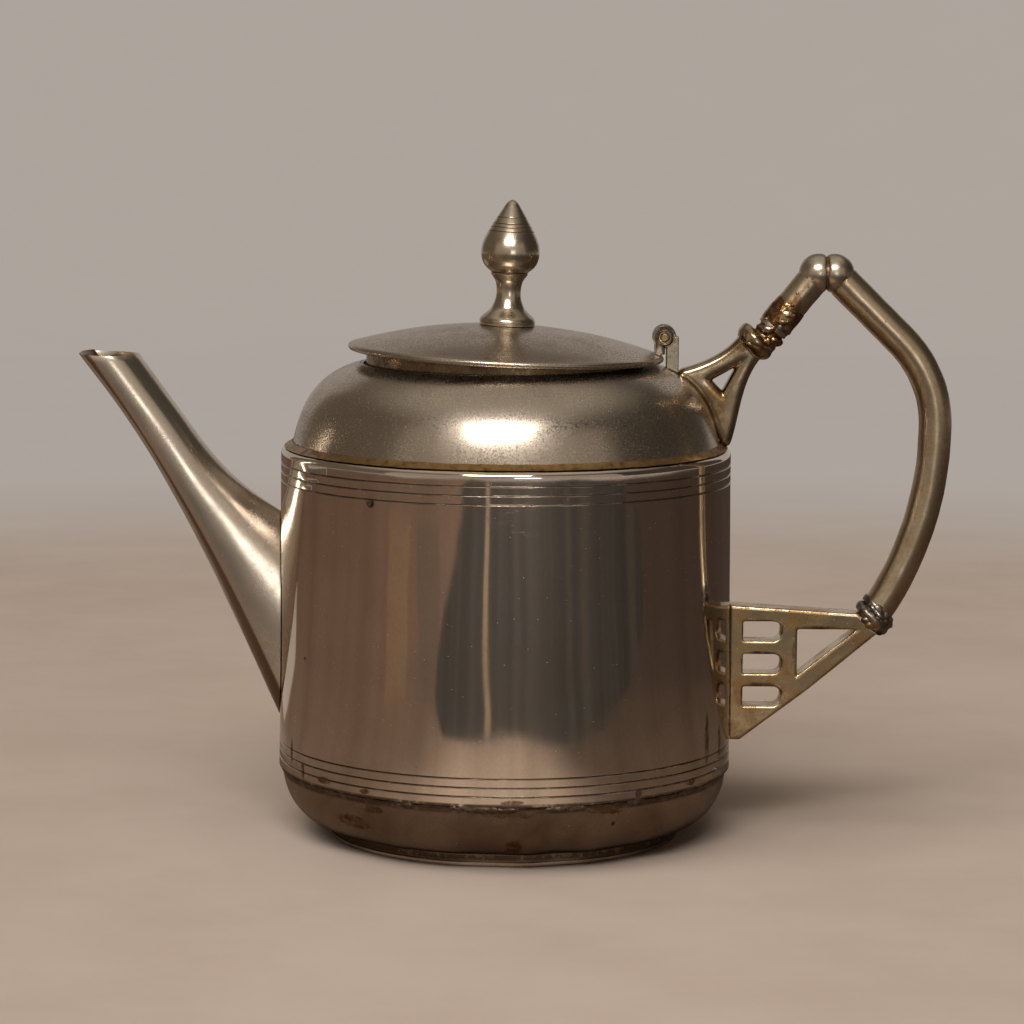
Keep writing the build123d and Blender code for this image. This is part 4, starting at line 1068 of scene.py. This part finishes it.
greyLook = dict(
    castLook, tone=(0.31, 0.28, 0.24), tarnish=(0.17, 0.11, 0.06), deepTone=(0.05, 0.035, 0.025), cloudSize=3,
    gloss=0.28, dull=0.4, grainShade=0.6,
    stains=[([(90.5, -4, 52.6, 2.6, 3, 1.5)], (0.50, 0.36, 0.18), 0.0, 0.6),
            ([(92.3, -3.5, 50.2, 1.3, 2.5, 1.2)], (0.03, 0.025, 0.02), 0.1, 0.3)],
)
seamLook = dict(
    greyLook, tone=(0.27, 0.23, 0.19), tarnish=(0.11, 0.065, 0.03), gloss=0.32, dull=0.5, stains=[],
)
brownLook = dict(
    castLook, tone=(0.42, 0.26, 0.10), tarnish=(0.12, 0.07, 0.025), cloudSize=2.2, gloss=0.3, dull=0.5,
)

for finishName, look, *pieces in (
    ("polishedBarrelPlate", barrelLook, barrel), ("pittedShoulderPlate", shoulderLook, shoulder, band),
    ("stainedAndShadedPanPlate", panLook, pan, foot), ("polishedSpoutPlate", spoutLook, spout),
    ("pittedLidPlate", lidLook, dome), ("shadedFlangePlate", shadedFlangeLook, flange),
    ("turnedFinialPlate", finialLook, stem, bulb), ("brownedBar", barLook, longBar, shortBar),
    ("elbowMetal", elbowLook, elbow), ("forkMetal", forkLook, fork), ("bracketMetal", bracketLook, bracket),
    ("lugMetal", lugLook, post), ("earMetal", hingeLook, ears), ("copperSolder", copperLook, upperRepair),
    ("greySolder", greyLook, collar, lowerRepair), ("brownedSolder", seamLook, lowSeam),
    ("brownSolder", brownLook, topSeam),
):
    dress(metalFinish(finishName, look), *pieces)
pinMetal = metalFinish("pinMetal", pinLook)
for nodeName in ("hinge_pin", "finial_washer", "finial_nut"):  # carried over as they are
    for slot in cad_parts[nodeName].material_slots:
        slot.material = pinMetal
print("finishes set")


floorSet = {  # sizes in m; cloud as grain in mm, from and to; the tone fades to far with distance
    "reach": 2.6, "cove": 1.2, "height": 1.7, "rings": (0, 0.2, 0.5, 0.9), "steps": 96, "weldReach": 0.0001,
    "near": (0.41, 0.335, 0.28), "nearCloud": (0.38, 0.305, 0.25), "far": (0.425, 0.385, 0.355),
    "cloud": (60, 0.3, 0.7), "dull": 0.8, "fade": (0.40, 0.8, 0, 0.85),
}


def makeFloor():
    s = floorSet
    clearSelection()
    sweep = [(ring, 0) for ring in s["rings"]]
    sweep += arcPoints((s["reach"] - s["cove"], s["cove"]), s["cove"], 270, 360, 24)
    sweep.append((s["reach"], s["height"]))
    bpy.ops.mesh.primitive_circle_add(vertices=len(sweep), radius=1)
    floor = bpy.context.object
    floor.name = "floor"
    for vertex, (out, height) in zip(floor.data.vertices, sweep):
        vertex.co = (out, 0, height)
    bpy.ops.object.mode_set(mode="EDIT")
    bpy.ops.mesh.select_all(action="DESELECT")
    endEdit()
    for edge in floor.data.edges:  # open the ring of points where its two ends meet
        edge.select = set(edge.vertices) == {0, len(sweep) - 1}
    bpy.ops.object.mode_set(mode="EDIT")
    bpy.ops.mesh.select_mode(type="EDGE")
    bpy.ops.mesh.delete(type="EDGE")
    bpy.ops.mesh.select_all(action="SELECT")
    bpy.ops.mesh.spin(steps=s["steps"], angle=2 * math.pi, center=(0, 0, 0), axis=(0, 0, 1))
    bpy.ops.mesh.select_all(action="SELECT")
    bpy.ops.mesh.remove_doubles(threshold=s["weldReach"])
    bpy.ops.mesh.normals_make_consistent(inside=True)
    endEdit()
    bpy.ops.object.shade_smooth()
    maker = FinishMaker("paleFloor")
    grain, low, high = s["cloud"]
    tone = maker.blend(maker.band(maker.noise(grain, detail=6), low, high), s["near"], s["nearCloud"])
    maker.feed(maker.shader, Base_Color=tone, Roughness=s["dull"])
    reach = maker.add("ShaderNodeVectorMath", operation="LENGTH")
    maker.feed(reach, i0=maker.place)
    away = maker.band(reach.outputs["Value"], *s["fade"])
    seen = maker.add("ShaderNodeLightPath")
    plain = maker.maths("MAXIMUM", seen.outputs["Is Camera Ray"], seen.outputs["Is Glossy Ray"])
    plain = maker.maths("MAXIMUM", plain, seen.outputs["Is Transmission Ray"])
    glow = maker.add("ShaderNodeEmission")
    maker.feed(glow, Color=s["far"])
    mixed = maker.add("ShaderNodeMixShader")
    maker.feed(
        mixed, i0=maker.maths("MULTIPLY", away, plain), i1=maker.shader.outputs[0], i2=glow.outputs[0]
    )
    maker.feed(maker.tree.nodes["Material Output"], i0=mixed.outputs[0])
    dress(maker.finish, floor)


def hideCard(card):  # seen only by the metal
    card.visible_camera = False
    card.visible_diffuse = False
    card.visible_shadow = False


cardSet = {  # sheets on the floor seen only in the metal, painted with the dark, shade and light it reflects: outline in m, height, tones left and right
    "cardRound": (
        [(1.6 * math.sin(math.radians(a)), 1.6 * math.cos(math.radians(a))) for a in range(0, 360, 5)],
        0.001, (0.145, 0.092, 0.064), (0.043, 0.026, 0.019),
    ),
    # a near-black sheet in front: painted dark reflection
    "cardFront": (
        [(-0.024, -0.222), (-0.07, -0.212), (-0.104, -0.202), (-0.152, -0.248), (-0.198, -0.33),
         (-0.235, -0.421), (-0.259, -0.56), (-0.275, -0.689), (-0.4, -1.35), (0.2, -1.55), (1.2, -0.9),
         (0.67, -0.269), (0.44, -0.158), (0.34, -0.15), (0.268, -0.154), (0.2, -0.162), (0.141, -0.179),
         (0.1, -0.197), (0.06, -0.215), (0.02, -0.222)],
        0.002, (0.015, 0.0135, 0.012), (0.015, 0.0135, 0.012),
    ),
    # painted golden reflection
    "cardGold": (
        [(-0.66, -0.40), (-0.56, -0.52), (-0.21, -0.2), (-0.235, -0.155)],
        0.0015, (0.175, 0.112, 0.068), (0.175, 0.112, 0.068),
    ),
    "cardShade": (
        [(-0.54, -0.56), (-0.39, -0.63), (-0.13, -0.235), (-0.17, -0.225)],
        0.0015, (0.10, 0.067, 0.047), (0.10, 0.067, 0.047),
    ),
    # painted bright reflection along the barrel's left edge
    "cardEdge": (
        [(-0.34, 0.42), (-0.42, 0.3), (-0.24, 0.16), (-0.12, 0.12), (-0.12, 0.2)],
        0.0015, (0.42, 0.38, 0.33), (0.42, 0.38, 0.33),
    ),
    # a paler slit in the front sheet: painted bright reflection line down the barrel
    "cardSlit": (
        [(-0.024, -0.222), (-0.034, -0.222), (-0.125, -0.713), (-0.2, -1.2), (-0.17, -1.2), (-0.1, -0.713)],
        0.003, (0.26, 0.19, 0.135), (0.26, 0.19, 0.135),
    ),
}
paintedReflectionSet = {  # steps across in m, painted light and shade near the pot, and streaks as size, strength, tone and way of mixing
    "across": (-0.1, 0.15), "nearLeft": (-0.14, -0.03), "nearRight": (0.03, 0.12), "nearTo": (0.12, 0.34),
    "leftTone": (0.17, 0.12, 0.088), "middleTone": (0.52, 0.42, 0.34), "rightTone": (0.10, 0.07, 0.05),
    "contactShadowTo": (0.118, 0.146), "contactShadowTone": (0.12, 0.08, 0.054), "dull": 0.9, "streakStep": (0.4, 0.65),
    "streaks": {
        "cardRound": (260, 0.45, (0.55, 0.5, 0.47), "MULTIPLY"),
        "cardFront": (110, 0.8, (0.045, 0.037, 0.03), "MIX"),
    },
}


def makeCard(name, outline, height, leftTone, rightTone):
    s = paintedReflectionSet
    clearSelection()
    bpy.ops.mesh.primitive_circle_add(vertices=len(outline), radius=1, fill_type="NGON")
    card = bpy.context.object
    card.name = name
    for vertex, (x, y) in zip(card.data.vertices, outline):
        vertex.co = (x, y, height)
    maker = FinishMaker(name + "Cloth")
    parts = maker.add("ShaderNodeSeparateXYZ")
    maker.feed(parts, i0=maker.place)
    across, forward = parts.outputs["X"], parts.outputs["Y"]
    # from the left tone to the right one; on the round sheet the right is darker, painted shade
    tone = maker.blend(maker.band(across, *s["across"]), leftTone, rightTone)
    if name == "cardRound":  # painted light and shade close to the pot: pale in front, painted shade to the left and right, and a painted contact shadow right round the pot
        reach = maker.add("ShaderNodeVectorMath", operation="LENGTH")
        maker.feed(reach, i0=maker.place)
        nearLightAndShadeTone = maker.blend(maker.band(across, *s["nearLeft"]), s["leftTone"], s["middleTone"])
        nearLightAndShadeTone = maker.blend(maker.band(across, *s["nearRight"]), nearLightAndShadeTone, s["rightTone"])
        tone = maker.blend(maker.band(reach.outputs["Value"], *s["nearTo"]), nearLightAndShadeTone, tone)
        tone = maker.blend(maker.band(reach.outputs["Value"], *s["contactShadowTo"]), s["contactShadowTone"], tone)
    if name in s["streaks"]:  # streaks that lead away from the pot
        size, strength, streakTone, way = s["streaks"][name]
        turn = maker.add("ShaderNodeCombineXYZ")
        maker.feed(turn, X=maker.maths("ARCTAN2", across, forward))
        cloud = maker.noise(size, detail=3, place=turn.outputs[0])
        tone = maker.blend(maker.band(cloud, *s["streakStep"], 0, strength), tone, streakTone, way)
    maker.feed(maker.shader, Base_Color=tone, Roughness=s["dull"])
    dress(maker.finish, card)
    hideCard(card)


panelSet = {  # glowing cards standing round the room, seen only in the metal: painted reflections of a lit front and darker sides; from and to in degrees from the front, height in m, tone
    "panelFront": (-62, 60, 1.3, (0.38, 0.32, 0.26)),
    "panelRight": (60, 142, 1.6, (0.06, 0.05, 0.04)),
    "panelLeft": (-142, -62, 1.6, (0.15, 0.12, 0.09)),
}
boardSet = {"radius": 1.8, "cuts": 15, "cloud": (500, 0.35, 0.65, 0.35), "shade": 0.6}


def makePanel(name, fromTurn, toTurn, height, tone):
    s = boardSet
    clearSelection()
    bpy.ops.mesh.primitive_plane_add(size=1)
    panel = bpy.context.object
    panel.name = name
    pick(panel)
    editAll()
    bpy.ops.mesh.subdivide(number_cuts=s["cuts"])
    endEdit()
    for vertex in panel.data.vertices:
        turn, rise = math.radians(fromTurn + (toTurn - fromTurn) * (vertex.co.x + 0.5)), vertex.co.y + 0.5
        vertex.co = (s["radius"] * math.sin(turn), -s["radius"] * math.cos(turn), height * rise)
    maker = FinishMaker(name + "Cloth")
    glow = maker.add("ShaderNodeEmission")
    grain, low, high, strength = s["cloud"]
    cloud = maker.band(maker.noise(grain, detail=3), low, high, 0.0, strength)
    maker.feed(glow, Color=maker.blend(cloud, tone, tuple(v * s["shade"] for v in tone)))
    maker.feed(maker.tree.nodes["Material Output"], i0=glow.outputs[0])
    dress(maker.finish, panel)
    hideCard(panel)


makeFloor()
for cardName, card in cardSet.items():
    makeCard(cardName, *card)
for panelName, panel in panelSet.items():
    makePanel(panelName, *panel)
print("floor and cards made")


lampSet = {  # boxes: place and aim in m, width and height, power, tone; and a wide soft fill for the floor
    "topBox": ((-0.09, -1.2, 1.12), (0, 0, 0.08), (0.8, 0.4), 15, (1.0, 0.97, 0.93)),
    "lowBox": ((0.30, -1.6, 0.2), (0, 0, 0.08), (0.36, 0.26), 1.0, (1.0, 0.97, 0.93)),
    "roomFill": ((-0.45, -0.55, 1.0), (0, 0, 0), 50, 2.0, (1.0, 0.97, 0.94)),
}
for lampName, (place, aim, size, power, tone) in lampSet.items():
    wide = lampName == "roomFill"
    light = bpy.data.lights.new(lampName, "SUN" if wide else "AREA")
    if wide:
        light.angle = math.radians(size)
    else:
        light.shape = "RECTANGLE"
        light.size, light.size_y = size
    light.energy, light.color = power, tone
    lamp = bpy.data.objects.new(lampName, light)
    bpy.context.scene.collection.objects.link(lamp)
    lamp.location = (0, 0, 0) if wide else place
    lamp.rotation_euler = (Vector(aim) - Vector(place)).to_track_quat("-Z", "Y").to_euler()
    lamp.visible_glossy = not wide

roomSet = {  # tones from left to right, changing over these shares, and overhead
    "across": (-0.7, 0.5), "tones": ((0.17, 0.14, 0.11), (0.075, 0.062, 0.05)),
    "overhead": (0.68, 0.92), "ceiling": (0.46, 0.41, 0.35),
}
world = bpy.data.worlds.new("room")
bpy.context.scene.world = world
room = FinishMaker("room", world)
toward = room.add("ShaderNodeSeparateXYZ")
room.feed(toward, i0=room.spread.outputs["Generated"])
share, overhead = room.add("ShaderNodeMapRange"), room.add("ShaderNodeMapRange")
room.feed(share, i0=toward.outputs["X"], i1=roomSet["across"][0], i2=roomSet["across"][1])
room.feed(overhead, i0=toward.outputs["Z"], i1=roomSet["overhead"][0], i2=roomSet["overhead"][1])
wallTone = room.blend(share.outputs[0], *roomSet["tones"])
roomTone = room.blend(overhead.outputs[0], wallTone, roomSet["ceiling"])
room.feed(room.tree.nodes["Background"], i0=roomTone)
bpy.context.scene.view_settings.view_transform = "Standard"
print("lamps and room made")
